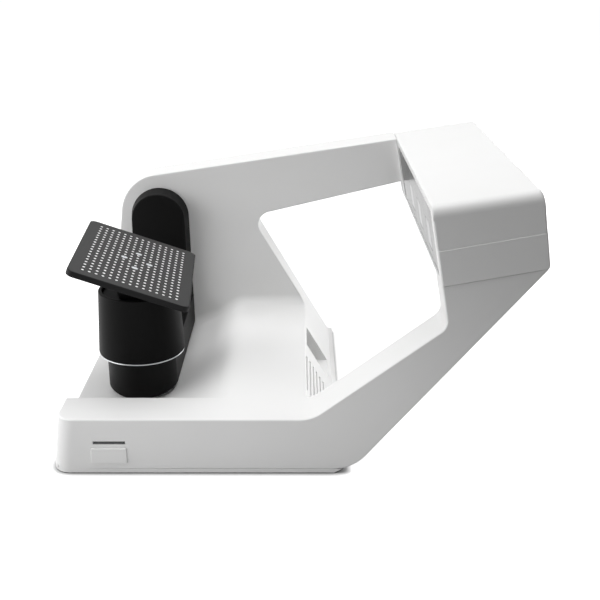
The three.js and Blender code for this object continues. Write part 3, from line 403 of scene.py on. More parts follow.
def vary(tree, pattern, tint=None, sheen=None, relief=0):
    """Lets a pattern shift the colour, the roughness and, by so many millimetres, the surface."""
    shader = tree.nodes["Principled BSDF"]
    if tint:
        mixed = add(tree, "ShaderNodeMix", {0: pattern, 6: srgb(tint[0]), 7: srgb(tint[1])}, data_type="RGBA")
        tree.links.new(mixed.outputs[2], shader.inputs["Base Color"])
    if sheen:
        spread = add(tree, "ShaderNodeMapRange", {"Value": pattern, "To Min": sheen[0], "To Max": sheen[1]})
        tree.links.new(spread.outputs["Result"], shader.inputs["Roughness"])
    if relief:
        bump = add(tree, "ShaderNodeBump", {"Height": pattern, "Distance": relief * MM})
        tree.links.new(bump.outputs["Normal"], shader.inputs["Normal"])


# ABS moulded against a spark-eroded tool: an even neutral white with a fine grain that softens each
# highlight, and a barely seen cloudiness where the melt flowed.
abs_white = "F0F0F0"
abs_cloud = "ECECEB"
abs_sheen = (0.4, 0.5)
flow_size = 60
abs_grain = 0.8  # 0.15 on the real tool, drawn coarser so that it shows
abs_grain_depth = 0.012

moulded_abs, tree, place = finish("moulded_abs", abs_white, roughness=0.45, index=1.54, gloss=0.2)
flow = add(tree, "ShaderNodeTexNoise", {"Vector": place, "Scale": 1 / (flow_size * MM), "Detail": 2})
grain = add(tree, "ShaderNodeTexNoise", {"Vector": place, "Scale": 1 / (abs_grain * MM), "Detail": 1})
vary(tree, flow.outputs["Fac"], tint=(abs_white, abs_cloud))
vary(tree, grain.outputs["Fac"], sheen=abs_sheen, relief=abs_grain_depth)

head_corner_x = right - head_width * math.cos(head_tilt)
head_place = (
    Matrix.Translation((head_corner_x, 0, head_corner_height)) @ Matrix.Rotation(-head_tilt, 4, "Y")
)
slope_place = Matrix.Translation((slope_foot_x, 0, 0)) @ Matrix.Rotation(-slope_angle, 4, "Y")


def head_point(x, z):
    point = head_place @ Vector((x, 0, z))
    return point.x, point.z


def slope_x(z):
    return slope_foot_x - z * math.tan(slope_angle)


def side_x(z):
    return left + z * math.tan(side_lean)


head_top_left = head_point(0, head_left_height)
head_top_right = head_point(head_width + head_flare, head_right_height)
top_slope = (head_top_right[1] - head_top_left[1]) / (head_top_right[0] - head_top_left[0])


def top_height(x):
    return head_top_left[1] + (x - head_top_left[0]) * top_slope


def front_outline():
    return [
        (left, 0),
        (left + heel_length, 0, heel_radius),
        (*head_point(head_width, 0), nose_radius),
        (*head_top_right, head_edge_radius),
        (*head_top_left, head_eyebrow_radius),
        (*head_point(0, -elbow_drop), elbow_radius),
        (left + rim_length, deck_height, rim_radius),
        (side_x(deck_height), deck_height),
    ]


def wall_outline():
    lean = math.tan(side_lean)
    shoulder = top_height(left) / (1 - lean * top_slope)
    return [
        (left, 0),
        (slope_foot_x, 0),
        (slope_x(throat_height), throat_height, throat_radius),
        (right, throat_height + (right - slope_x(throat_height)) * math.tan(beam_rise)),
        (right, top_height(right)),
        (side_x(shoulder), shoulder, shoulder_radius),
    ]


def trough_end_drop():
    """How far under the pivot the trough runs out of the leaning side."""
    lean = math.tan(side_lean)
    reach = pivot_x - side_x(pivot_height)
    a = 1 + lean ** 2
    b = 2 * reach * lean
    return (b + math.sqrt(b ** 2 - 4 * a * (reach ** 2 - trough_radius ** 2))) / (2 * a)


def base_outline(offset):
    """Slope, deck and trough, moved inwards by the offset."""
    lip_x = pivot_x + math.sqrt(
        (trough_radius + trough_lip_radius) ** 2 - (pivot_height - deck_height + trough_lip_radius) ** 2)
    lip_z = deck_height - trough_lip_radius
    lip_end = math.atan2(pivot_height - lip_z, pivot_x - lip_x)
    trough_end = -math.pi / 2 - math.acos(trough_end_drop() / trough_radius)
    slope_shift = offset / math.cos(slope_angle)
    side_shift = offset / math.cos(side_lean)
    top = deck_height - offset
    trough = arc(pivot_x, pivot_height, trough_radius + offset, lip_end - math.pi, trough_end)
    end_z = trough[-1][1]
    return [
        (side_x(0) + side_shift, 0),
        (slope_foot_x - slope_shift, 0),
        (slope_x(top) - slope_shift, top),
        *arc(lip_x, lip_z, trough_lip_radius - offset, math.pi / 2, lip_end),
        *trough[1:-1],
        (side_x(end_z) + side_shift, end_z),
    ]


def plan_block():
    """What the corners that are rounded in plan leave, along the leaning left side."""
    tall = head_top_right[1] + overrun
    rings = []
    for height in (0, tall):
        x = side_x(height)
        far = right + overrun + x - left
        outline = rounded([
            (x - hair, -hair, front_plan_radius), (far, -hair),
            (far, casing_depth + hair), (x - hair, casing_depth + hair, plan_radius),
        ])
        rings.append([(x, y, height) for x, y in outline])
    return loft(rings)


def cove():
    """The rounded run from deck and trough up into the wall."""
    rings = []
    for k in range(cove_steps + 1):
        angle = math.pi / 2 * k / cove_steps
        rise = cove_radius * (1 - math.cos(angle))
        depth = wall_front - cove_radius * (1 - math.sin(angle))
        rings.append([(x, depth, z) for x, z in base_outline(-rise)])
    rings[-1] = [(x, wall_front + hair, z) for x, _, z in rings[-1]]
    return carve(loft(rings), "INTERSECT", prism_y(rounded(wall_outline()), 0, casing_depth))


housing = carve(
    prism_y(rounded(front_outline()), 0, front_frame_depth), "UNION",
    prism_y(base_outline(0), front_frame_depth - hair, wall_front + hair),
    prism_y(rounded(wall_outline()), wall_front, casing_depth),
    cove(),
)
carve(housing, "INTERSECT", plan_block())


def clear_of_trough(edge):
    """False for the rim's back edge, where the trough's lip runs out under it."""
    return not all(
        abs(corner.co.y - front_frame_depth) < margin and abs(corner.co.z - deck_height) < margin
        for corner in edge.verts)


soften(housing, edge_radius, where=clear_of_trough)
for corner in housing.data.vertices:
    corner.co.y = min(corner.co.y, casing_depth)


# What is cut into the housing: the button's window, the sockets' pocket, the vents, the swing hub and the
# bays behind the shell. The mould forms them all in one shot.
seam_gap = 0.35
head_seam_height = 25.2
button_width = 26.7
button_height = 12.4
button_inset = 28.7
button_floor = 5.6
button_corner = 1
button_lean = 1.1
indicator_width = 22.8
indicator_height = 1.8
indicator_floor = 21.2
indicator_shift = 0.9
pocket_floor = 6.6
pocket_depth = 8.2
pocket_top = 38.5
pocket_kink = 23.4
pocket_from = 140.4
pocket_to = 180.6
pocket_wall = 3
socket_pitch = 18
socket_rise = 21.5
inlet_radius = 4.2
port_width = 11.5
port_height = 10.5
vent_count = 6
vent_pitch = 5.4
vent_width = 2
vent_from = 52
vent_to = 116
vent_start = 16.8
hub_bore = 11.3
hub_radius = 16
hub_depth = 16
hub_floor = 1.5
shaft_radius = 5
wall_skin = 4
rear_cover_wall = 3
rear_post_radius = 4
screw_radius = 1.5
screw_length = 10
bore_sides = 12
post_radius = 4
bottom_wall = 2.5

wall_inside = wall_front + wall_skin
socket_middle = (pocket_from + pocket_to) / 2


def head_zone(from_height, to_height, from_x=-overrun, from_depth=-overrun, to_depth=casing_depth + overrun):
    """The space between two heights over the head's foot, tilted as the head is."""
    body = block((from_x, head_width + overrun), (from_depth, to_depth), (from_height, to_height))
    return placed(body, head_place)


def pocket(grow, start, end):
    """The recess in the slope that the sockets sit in, grown by so much for its walls."""
    shift = (pocket_depth + grow) / math.cos(slope_angle)
    kink_x = slope_x(pocket_kink) - shift
    return prism_y([
        (slope_x(pocket_floor - grow) - shift, pocket_floor - grow),
        (slope_x(pocket_floor - grow) + overrun, pocket_floor - grow),
        (slope_x(pocket_top) + overrun, pocket_top + grow),
        (kink_x, pocket_top + grow),
        (kink_x, pocket_kink),
    ], start, end)


def button_outline(grow, corner):
    start = left + button_inset - grow
    end = start + button_width + 2 * grow
    low = button_floor - grow
    high = button_floor + button_height + grow
    return rounded([
        (start, low, corner), (end, low, corner), (end, high, corner), (start + button_lean, high, corner)])


def indicator_block(grow, start, end):
    from_x = left + button_inset + (button_width - indicator_width) / 2 + indicator_shift
    return block(
        (from_x - grow, from_x + indicator_width + grow), (start, end),
        (indicator_floor - grow, indicator_floor + indicator_height + grow))


def centre_of(node):
    """The middle of a CAD node, in the casing's millimetres."""
    low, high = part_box(node)
    return casing_place.inverted() @ ((low + high) / 2)


def corner_wall():
    """The wall's own thickness behind the base's round front corner."""
    middle = front_plan_radius
    rings = []
    for height in (-overrun, deck_height):
        x = side_x(height)
        bend = arc(x + middle, middle, middle - shell_wall, -math.pi / 2, -math.pi)
        outline = [(x - margin, -margin), (x + middle, -margin), *bend, (x - margin, middle)]
        rings.append([(a, b, height) for a, b in outline])
    return loft(rings)


def at_screws(low_bar, rear_bar):
    """Round bars (radius, start, end, sides) on the axes of the screws in the base and in the rear cover."""
    bars = []
    for k in range(1, 5):
        middle = centre_of(f"bottom_screw_{k}")
        bars.append(moved(rod(*low_bar), middle.x, middle.y, 0))
        middle = centre_of(f"rear_screw_{k}")
        bars.append(moved(turn_to_y(rod(*rear_bar)), middle.x, 0, middle.z))
    return bars


def housing_bays():
    deep = [(x, -hair if z == 0 else z) for x, z in base_outline(shell_wall)]
    bays = carve(
        prism_y(deep, shell_wall, casing_depth - shell_wall), "UNION",
        block((side_x(deck_height) + side_wall, slope_x(deck_height) - side_wall),
              (shell_wall, front_frame_depth - shell_wall), (-overrun, deck_height - shell_wall)),
        prism_y(rounded(inset(wall_outline(), rear_lip)), wall_inside, casing_depth + overrun),
    )
    posts = at_screws(
        (post_radius, bottom_wall + gap, deck_height - shell_wall),
        (rear_post_radius, wall_front, casing_depth - rear_cover_wall - gap))
    hub = turn_to_y(rod(hub_radius, wall_front, wall_inside + hub_depth))
    return carve(
        bays, "DIFFERENCE",
        moved(hub, pivot_x, 0, pivot_height),
        pocket(pocket_wall, pocket_from - pocket_wall, pocket_to + pocket_wall),
        corner_wall(),
        *posts,
    )


vents = []
for k in range(vent_count):
    low = vent_start + k * vent_pitch
    slot = block((-shell_wall - side_wall, overrun), (vent_from, vent_to), (low, low + vent_width))
    vents.append(placed(slot, slope_place))
inner_face = -pocket_depth - pocket_wall - hair
inlet_hole = placed(
    rod(inlet_radius + gap, inner_face, -pocket_depth + hair), Matrix.Rotation(math.pi / 2, 4, "Y"))
moved(inlet_hole, 0, socket_middle - socket_pitch / 2, socket_rise)
port_middle = socket_middle + socket_pitch / 2
port_hole = block(
    (inner_face, -pocket_depth + hair),
    (port_middle - port_width / 2 - gap, port_middle + port_width / 2 + gap),
    (socket_rise - port_height / 2 - gap, socket_rise + port_height / 2 + gap))
hub_hole = turn_to_y(rod(hub_bore, wall_front + hub_floor, wall_inside + hub_depth + hair))
shaft_hole = turn_to_y(rod(shaft_radius + 2 * gap, wall_front - overrun, casing_depth - shell_wall))
screw_bores = at_screws(
    (screw_radius + gap, 0, screw_length + gap, bore_sides),
    (screw_radius + gap, casing_depth - screw_length - gap, casing_depth, bore_sides))

carve(
    housing, "DIFFERENCE",
    housing_bays(),
    head_zone(-seam_gap, head_left_height + overrun, to_depth=wall_front - hair),
    head_zone(-elbow_drop, head_left_height + overrun, -seam_gap, wall_front - overrun),
    pocket(0, pocket_from, pocket_to),
    placed(inlet_hole, slope_place),
    placed(port_hole, slope_place),
    prism_y(button_outline(gap / 2, button_corner), -overrun, shell_wall + hair),
    indicator_block(gap, -overrun, shell_wall + hair),
    moved(hub_hole, pivot_x, 0, pivot_height),
    moved(shaft_hole, pivot_x, 0, pivot_height),
    *vents,
    *screw_bores,
)
shown_as(housing, "housing_shell", moulded_abs, "casing", "main_housing")


# Head: a tray that stands on the strut and a cover over it, both moulded in the housing's white ABS.
# The tray stands a little proud in front, so its seams show as a lit line above and a dark line below.
head_round = 8
seam_edge = 0.5
tray_proud = 0.7
cover_gap = 0.06
head_round_steps = 10
head_crease = math.radians(50)
head_wall = 3
bezel_from = 10
bezel_to = 233
bezel_floor = 3.6
bezel_top = 50.6
cable_slot = 16


def head_outline(drop):
    """The frame's outline with the head's top lowered by the drop."""
    outline = front_outline()
    flare = head_flare * (1 - drop / head_right_height)
    outline[3] = (*head_point(head_width + flare, head_right_height - drop), head_edge_radius)
    outline[4] = (*head_point(0, head_left_height - drop), head_eyebrow_radius)
    return rounded(outline)


def head_block():
    """The head's outside, its top rounded down to the front and back faces."""
    rounds = []
    for k in range(head_round_steps + 1):
        angle = math.pi / 2 * k / head_round_steps
        rounds.append((head_round * (1 - math.cos(angle)), head_round * (1 - math.sin(angle))))
    rounds += [(casing_depth - depth, drop) for depth, drop in reversed(rounds)]
    body = loft([[(x, depth, z) for x, z in head_outline(drop)] for depth, drop in rounds])
    return soften(body, edge_radius, sharp_from=head_crease)


def at_front_seams(edge):
    """Picks the tray's front edges, along the seam under it and the seam over it."""
    heights = [(head_place.inverted() @ corner.co).z for corner in edge.verts]
    at_front = max(corner.co.y for corner in edge.verts) < seam_edge
    return at_front and (max(heights) < seam_edge or min(heights) > head_seam_height - seam_edge)


def head_cavity():
    section = inset([
        head_point(0, -elbow_drop), head_point(head_width, -elbow_drop), head_point(head_width, 0),
        (*head_top_right, head_edge_radius), (*head_top_left, head_eyebrow_radius),
    ], head_wall)
    room = prism_y(rounded(section), head_wall, casing_depth - head_wall)
    return carve(room, "INTERSECT", head_zone(head_wall, head_left_height + overrun))


def head_opening(ys, zs):
    """What is cut through the head's left wall, for the bezel or for the cables."""
    return placed(block((-overrun, head_wall + hair), ys, zs), head_place)


for name, node, forward, low, high in (
    ("head_tray_shell", "head_tray", tray_proud, 0, head_seam_height - cover_gap / 2),
    ("head_cover_shell", "head_cover", 0, head_seam_height + cover_gap / 2, head_left_height + overrun),
):
    shell = moved(head_block(), 0, -forward, 0)
    carve(shell, "INTERSECT", head_zone(low, high))
    if forward:
        soften(shell, seam_edge, steps=2, sharp_from=head_crease, where=at_front_seams)
    carve(
        shell, "DIFFERENCE",
        head_cavity(),
        head_opening((bezel_from, bezel_to), (bezel_floor, bezel_top)),
        head_opening((wall_inside, casing_depth - rear_cover_wall - gap),
                     ((head_left_height - cable_slot) / 2, (head_left_height + cable_slot) / 2)),
    )
    shown_as(shell, name, moulded_abs, "casing", node)


# Rear cover: a flat plate of the same white ABS, let flush into the back of the wall over the swing drive.
# Four screws hold it in counterbores, and its edge is eased.
cover_edge = 0.6
screw_head_radius = 3
screw_head_height = 1.8

rear_cover = prism_y(
    rounded(inset(wall_outline(), rear_lip + gap)), casing_depth - rear_cover_wall, casing_depth)
carve(rear_cover, "DIFFERENCE", head_zone(-elbow_drop, head_left_height + overrun, -gap))
soften(rear_cover, cover_edge, steps=2)
for k in range(1, 5):
    middle = centre_of(f"rear_screw_{k}")
    sink = rod(screw_head_radius + gap, casing_depth - screw_head_height - gap, casing_depth + margin)
    bore = rod(screw_radius + gap, casing_depth - screw_length, casing_depth, bore_sides)
    for hole in (sink, bore):
        carve(rear_cover, "DIFFERENCE", moved(turn_to_y(hole), middle.x, 0, middle.z))
shown_as(rear_cover, "rear_cover_plate", moulded_abs, "casing", "rear_cover")


# Power button: a white ABS key with soft edges, let into a window in the front of the base.
# A flange behind the shell keeps it in, and it travels back on to the switch of the button board.
button_proud = 1.2
button_edge = 0.9
flange_grow = 1
flange_wall = 1.4

button = prism_y(button_outline(0, button_corner), -button_proud, shell_wall + 2 * gap)
soften(button, button_edge, where=lambda edge: max(corner.co.y for corner in edge.verts) < 0)
flange = prism_y(button_outline(flange_grow, button_corner), shell_wall + gap, shell_wall + gap + flange_wall)
carve(button, "UNION", flange)
shown_as(button, "power_key", moulded_abs, "button", "power_button")


# Indicator: a strip of smoked polycarbonate over the button, let into the front and lit from the board
# behind it. It is polished in the tool, so it is dark and glossy, with faint flow lines in it.
indicator_edge = 0.3
indicator_sink = 0.1
smoke_dark = "1C1D1E"
smoke_light = "2E3032"
smoke_lines = 4


def speckled(name, tint, size, detail=2, distortion=0, sheen=None, relief=0, **constants):
    """A finish of two close colours that follow one noise of so many millimetres."""
    made, tree, place = finish(name, tint[0], **constants)
    noise = add(tree, "ShaderNodeTexNoise", {
        "Vector": place, "Scale": 1 / (size * MM), "Detail": detail, "Distortion": distortion})
    vary(tree, noise.outputs["Fac"], tint, sheen, relief)
    return made


smoked_polycarbonate = speckled("smoked_polycarbonate", (smoke_dark, smoke_light), smoke_lines, distortion=1,
                                roughness=0.18, index=1.585, gloss=0.4)
indicator = soften(indicator_block(0, indicator_sink, shell_wall - gap), indicator_edge, steps=2)
shown_as(indicator, "indicator_lens", smoked_polycarbonate, "casing", "indicator_strip")


# Bottom plate: a flat moulded ABS plate screwed up into the base, with a coarser grain than the housing.
# Round it runs a low white rim that hides the feet and slants up at its right end, under the heel.
rim_drop = 2.5
rim_rise = 1.1
rim_wall = 4
rim_reach = 205.5
rim_slant = 6.6
rim_edge = 0.35
rim_inset = 0.1
abs_shade = "E6E6E5"
plate_grain = 1.6  # 0.3 on the real tool, drawn coarser so that it shows
plate_grain_depth = 0.05


def finished(material, *nodes):
    """CAD nodes whose shape is right get their material."""
    for node in nodes:
        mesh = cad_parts[node].data
        mesh.materials.clear()
        mesh.materials.append(material)


coarse_abs = speckled("coarse_moulded_abs", (abs_white, abs_shade), plate_grain, relief=plate_grain_depth,
                      roughness=0.6, index=1.54, gloss=0.2)
finished(coarse_abs, "bottom_plate")


def rim_outline(shrink):
    end = left + rim_reach + rim_slant - shrink
    rear = casing_depth - shrink
    return rounded([
        (left + shrink, shrink, front_plan_radius - shrink), (end, shrink), (end, rear),
        (left + shrink, rear, plan_radius - shrink)])


def rim_side():
    """The rim seen from the front: its right end slants up to meet the rounded heel."""
    end = left + rim_reach
    return prism_y([
        (left - overrun, -rim_drop), (end, -rim_drop), (end + rim_slant, rim_rise),
        (left - overrun, rim_rise)], -overrun, casing_depth + overrun)


base_rim = carve(prism_z(rim_outline(rim_inset), -overrun, overrun), "INTERSECT", rim_side())
soften(base_rim, rim_edge, steps=2)
carve(base_rim, "DIFFERENCE", prism_z(rim_outline(rim_wall), -overrun, overrun))
shown_as(base_rim, "base_rim", moulded_abs, "casing", slot="white_shell")


# Feet: four moulded rubber pads pressed into the base, each with a hollow that grips the table.
# Moulded rubber is matt, near black, and slightly dusty in its pores.
foot_radius = 7
foot_height = 3
foot_seat = 0.9
foot_hollow = 3.4
foot_edge = 0.9
rubber_black = "161617"
rubber_dust = "262626"
pore_size = 0.7
pore_depth = 0.05


def turned(profile, sides=96):
    """A body turned about the Z axis, from a profile of (radius, height) that closes on itself."""
    rings = []
    for k in range(sides):
        across, along = math.cos(math.tau * k / sides), math.sin(math.tau * k / sides)
        rings.append([(radius * across, radius * along, height) for radius, height in profile])
    return loft(rings, ring_closed=True)


moulded_rubber = speckled("moulded_rubber", (rubber_black, rubber_dust), pore_size, detail=4,
                          relief=pore_depth, roughness=0.85, index=1.52, gloss=0.3)
for k in range(1, 5):
    middle = centre_of(f"foot_{k}")
    pad = turned(rounded([
        (foot_hollow, -foot_height), (foot_radius, -foot_height, foot_edge), (foot_radius, foot_seat),
        (hair, foot_seat), (hair, -foot_height / 2),
        (foot_hollow - foot_edge, -foot_height / 2, foot_edge / 2),
    ]), sides=48)
    shown_as(moved(pad, middle.x, middle.y, 0), f"foot_pad_{k}", moulded_rubber, "casing", f"foot_{k}")


# Screws: zinc-plated steel pan heads with a cross recess, four under the base, four in the rear cover and
# two inside the head. The plating gives a bright, slightly cloudy metal.
recess_reach = 1.75
recess_half = 0.38
recess_depth = 1.1
head_edge = 0.85
head_burr = 0.15
screw_point = 0.5
zinc_bright = "E4E6E7"
zinc_cloud = "CBCED1"
zinc_sheen = (0.42, 0.6)
plating_size = 1.5

zinc_plate = speckled("zinc_plated_steel", (zinc_bright, zinc_cloud), plating_size, detail=5,
                      sheen=zinc_sheen, roughness=0.5, metallic=1)
finished(zinc_plate, "head_screw_1", "head_screw_2")


def pan_screw(length):
    """A screw along Z, the top of its head at zero."""
    body = turned(rounded([
        (hair, 0), (screw_head_radius, 0, head_edge), (screw_head_radius, -screw_head_height, head_burr),
        (screw_radius, -screw_head_height), (screw_radius, screw_point - length),
        (screw_radius - screw_point, -length), (hair, -length),
    ]), sides=48)
    return carve(
        body, "DIFFERENCE",
        block((-recess_reach, recess_reach), (-recess_half, recess_half), (-recess_depth, margin)),
        block((-recess_half, recess_half), (-recess_reach, recess_reach), (-recess_depth, margin)))


for group, turn, outwards in (
    ("bottom_screw", Matrix.Rotation(math.pi, 4, "X"), Vector((0, 0, -1))),
    ("rear_screw", Matrix.Rotation(-math.pi / 2, 4, "X"), Vector((0, 1, 0))),
):
    for k in range(1, 5):
        face = centre_of(f"{group}_{k}") + outwards * screw_length / 2
        shown_as(pan_screw(screw_length), f"{group}_{k}_pan_head", zinc_plate, "casing", f"{group}_{k}",
                 place=casing_place @ Matrix.Translation(face) @ turn)


# Sockets: a barrel inlet in black moulded PBT and a data port with a shell of drawn, nickel-plated steel.
# The PBT is matt with a faint glass-fibre fleck; the nickel is bright, with lines along the draw.
pbt_black = "121213"
fiber_fleck = "2C2C2D"
fleck_size = 0.5
fleck_share = 0.25
nickel_bright = "C4C2BD"
nickel_dull = "9C9A95"
nickel_sheen = (0.2, 0.4)
draw_lines = 0.25
draw_stretch = 30

filled_pbt, tree, place = finish("glass_filled_pbt", pbt_black, roughness=0.6, index=1.55, gloss=0.3)
fleck = add(tree, "ShaderNodeTexVoronoi", {"Vector": place, "Scale": 1 / (fleck_size * MM)})
few = add(tree, "ShaderNodeMapRange", {
    "Value": fleck.outputs["Distance"], "From Max": fleck_share, "To Min": 1, "To Max": 0})
vary(tree, few.outputs["Result"], tint=(pbt_black, fiber_fleck))
finished(filled_pbt, "power_inlet")


def drawn_lines(tree, place, pitch, stretch):
    """Noise stretched into lines so many millimetres apart, as a die leaves them."""
    along = add(tree, "ShaderNodeMapping", {"Vector": place, "Scale": stretch})
    noise = add(tree, "ShaderNodeTexNoise",
                {"Vector": along.outputs["Vector"], "Scale": 1 / (max(stretch) * pitch * MM)})
    return noise.outputs["Fac"]


nickel_plate, tree, place = finish("nickel_plated_steel", nickel_bright, roughness=0.28, metallic=1)
drawn = drawn_lines(tree, place, draw_lines, (1, draw_stretch, draw_stretch))
vary(tree, drawn, tint=(nickel_bright, nickel_dull), sheen=nickel_sheen)
finished(nickel_plate, "data_port")


# Circuit boards: glass-epoxy laminate under a green solder mask, one behind the button and one in the base.
# Copper tracks show through the mask as a lighter net of straight runs, every 1.27 mm.
mask_green = "12472C"
mask_shade = "0E3B24"
track_green = "2A7A4C"
track_pitch = 1.27
track_width = 0.18 * track_pitch
track_run = 9 * track_pitch
track_offset = 0.35
glass_weave = 0.5
weave_depth = 0.02

solder_mask, tree, place = finish("solder_masked_laminate", mask_green, roughness=0.35, index=1.55)
tracks = add(tree, "ShaderNodeTexBrick", {
    "Vector": place, "Scale": 1, "Color1": srgb(mask_green), "Color2": srgb(mask_shade),
    "Mortar": srgb(track_green), "Mortar Size": track_width * MM, "Brick Width": track_run * MM,
    "Row Height": track_pitch * MM}, offset=track_offset, offset_frequency=3)
tree.links.new(tracks.outputs["Color"], tree.nodes["Principled BSDF"].inputs["Base Color"])
weave = add(tree, "ShaderNodeTexNoise", {"Vector": place, "Scale": 1 / (glass_weave * MM)})
vary(tree, weave.outputs["Fac"], relief=weave_depth)
finished(solder_mask, "button_board", "main_board")


# Optics bezel: a glossy black ABS panel clipped into the head's left face. Three square panes of coated
# glass are let into it, one before the projector and one before each camera.
bezel_wall = 2.8
bezel_inset = 0.4
window_side = 21
window_lip = 1.4
window_wall = 1.6
window_corner = 1.5
window_edge = 0.3
aim_height = 23.1
scan_axis_depth = 104.2
camera_spread = 54
window_depths = (scan_axis_depth - camera_spread, scan_axis_depth, scan_axis_depth + camera_spread)
on_head = casing_place @ head_place


def window_block(shrink, depth, start, end):
    """A square pane with round corners, facing along X."""
    half = window_side / 2 - shrink
    outline = rectangle((depth - half, depth + half), (aim_height - half, aim_height + half), window_corner)
    return loft([[(x, y, z) for y, z in outline] for x in (start, end)])


# Black ABS from a polished tool: black from the front, it mirrors the room softly at a flat angle, with the
# slight waves of a panel that has sunk a little as it cooled.
gloss_black = "0B0B0C"
gloss_worn = "121213"
bezel_sheen = (0.2, 0.28)
sink_size = 30

gloss_abs = speckled("polished_black_abs", (gloss_black, gloss_worn), sink_size, sheen=bezel_sheen,
                     roughness=0.24, index=1.5, gloss=0.3)

# Optical glass with a low-index coating, lightly etched against glare: nearly black from the front, with the
# coating's cool violet reflection painted into its colour in patches towards a flat angle, and no more than a
# soft sheen there.
glass_black = "0A0C12"
painted_violet_reflection = "1A1830"
painted_reflection_patch = 15
painted_reflection_blend = 0.3

coated_glass, tree, place = finish("coated_optical_glass", glass_black, roughness=0.17, index=1.38, gloss=0.2)
# Painted reflection: violet is mixed into the colour, in uneven patches, as the pane turns away from the
# camera.
facing = add(tree, "ShaderNodeLayerWeight", {"Blend": painted_reflection_blend})
uneven = add(tree, "ShaderNodeTexNoise", {"Vector": place, "Scale": 1 / (painted_reflection_patch * MM)})
painted_reflection_share = add(tree, "ShaderNodeMath", {0: facing.outputs["Facing"], 1: uneven.outputs["Fac"]},
             operation="MULTIPLY")
vary(tree, painted_reflection_share.outputs[0], tint=(glass_black, painted_violet_reflection))

bezel = block((bezel_inset, bezel_inset + bezel_wall), (bezel_from + gap, bezel_to - gap),
              (bezel_floor + gap, bezel_top - gap))
soften(bezel, window_edge, steps=2)
for depth in window_depths:
    seat = window_block(0, depth, -overrun, bezel_inset + window_wall + gap)
    carve(bezel, "DIFFERENCE", seat, window_block(window_lip, depth, -overrun, overrun))
shown_as(bezel, "bezel_panel", gloss_abs, "casing", "optics_bezel", place=on_head)

for node, depth in zip(("front_camera_window", "projector_window", "rear_camera_window"), window_depths):
    pane = window_block(gap, depth, bezel_inset, bezel_inset + window_wall)
    soften(pane, window_edge, steps=2)
    shown_as(pane, f"{node}_pane", coated_glass, "casing", node, place=on_head)


# Scan optics: two cameras and a projector on a rail, behind the windows and each under its own coated lens.
# Their bodies are black anodised aluminium, bead-blasted to a fine matt; the rail is a drawn, natural bar.
anodised_black = "141415"
anodised_worn = "232325"
blast_size = 0.4  # 0.1 on the real bodies, drawn coarser so that it shows
blast_depth = 0.02
rail_bright = "C9CBCC"
rail_dull = "A9ACAE"
rail_sheen = (0.25, 0.45)
die_lines = 0.5
die_stretch = 20

blasted_black = speckled("blasted_black_anodised_aluminium", (anodised_black, anodised_worn), blast_size,
                         relief=blast_depth, roughness=0.5, gloss=0.3)
finished(blasted_black, "front_camera", "rear_camera", "projector")
finished(coated_glass, "front_camera_lens", "rear_camera_lens", "projector_lens")

drawn_aluminium, tree, place = finish("drawn_aluminium", rail_bright, roughness=0.35, metallic=1)
drawn = drawn_lines(tree, place, die_lines, (die_stretch, 1, die_stretch))
vary(tree, drawn, tint=(rail_bright, rail_dull), sheen=rail_sheen)
finished(drawn_aluminium, "optics_rail")


# Swing drive, behind the wall: a motor whose pinion turns a toothed belt, the pulley and the shaft in two
# bearings. Ground steel is bright with fine rings, machined aluminium has coarser ones, the motor's can is
# enamelled, and the belt is neoprene over cords that show as ribs.
steel_bright = "BFC2C5"
steel_dark = "95999D"
steel_sheen = (0.15, 0.35)
ring_lines = 0.4
cut_sheen = (0.22, 0.42)
cut_pitch = 0.8
enamel_black = "18181A"
enamel_high = "222224"
enamel_peel = 2.5
enamel_relief = 0.03
neoprene_black = "171718"
neoprene_high = "232324"
cord_pitch = 1.1
cord_relief = 0.1


def wave_scale(pitch):
    """The scale that puts waves so many millimetres apart: at 1 they are tau / 20 metres apart."""
    return math.tau / (20 * pitch * MM)


ground_steel, tree, place = finish("ground_bearing_steel", steel_bright, roughness=0.22, metallic=1)
rings = add(tree, "ShaderNodeTexWave", {"Vector": place, "Scale": wave_scale(ring_lines), "Distortion": 4},
            bands_direction="Y")
vary(tree, rings.outputs["Fac"], tint=(steel_bright, steel_dark), sheen=steel_sheen)
finished(ground_steel, "swing_shaft", "swing_bearing_1", "swing_bearing_2", "spin_bearing", "spindle")

machined_aluminium, tree, place = finish("machined_aluminium", rail_bright, roughness=0.3, metallic=1)
rings = add(tree, "ShaderNodeTexWave", {"Vector": place, "Scale": wave_scale(cut_pitch), "Distortion": 2},
            bands_direction="Y")
vary(tree, rings.outputs["Fac"], tint=(rail_bright, rail_dull), sheen=cut_sheen)
finished(machined_aluminium, "swing_pulley", "motor_pinion")

enamelled_steel = speckled("enamelled_steel", (enamel_black, enamel_high), enamel_peel, relief=enamel_relief,
                           roughness=0.35, index=1.5)
finished(enamelled_steel, "swing_motor", "spin_motor", "drum_base")

neoprene, tree, place = finish(
    "cord_reinforced_neoprene", neoprene_black, roughness=0.75, index=1.56, gloss=0.3)
cords = add(tree, "ShaderNodeTexWave", {"Vector": place, "Scale": wave_scale(cord_pitch)},
            bands_direction="Y")
vary(tree, cords.outputs["Fac"], tint=(neoprene_black, neoprene_high), relief=cord_relief)
finished(neoprene, "swing_belt")


# Swing arm: one aluminium casting with an upright, a limb that reaches forward under the drum and a round
# foot. It is powder coated in black and fixed on the swing shaft, and its foot runs free in the trough.
arm_radius = 26.2
arm_half_width = 28
arm_bevel = 2.6
arm_thickness = 16.3
arm_clearance = 0.4
foot_clearance = 3
limb_drop = 75.7
arm_edge = 0.8
arm_crease = math.radians(25)

arm_reach = trough_radius - foot_clearance
arm_back = wall_front - arm_clearance
arm_front = arm_back - arm_thickness
swing_place = Matrix.Translation((pivot_x, 0, pivot_height))


def arm_outline(shrink):
    half_width = arm_half_width - shrink
    foot_angle = math.asin(half_width / arm_reach)
    start = -math.pi / 2 - foot_angle
    return [
        *arc(0, 0, arm_reach, start, start + 2 * foot_angle, count=24),
        *arc(0, 0, arm_radius - shrink, 0, math.pi, count=60),
    ]


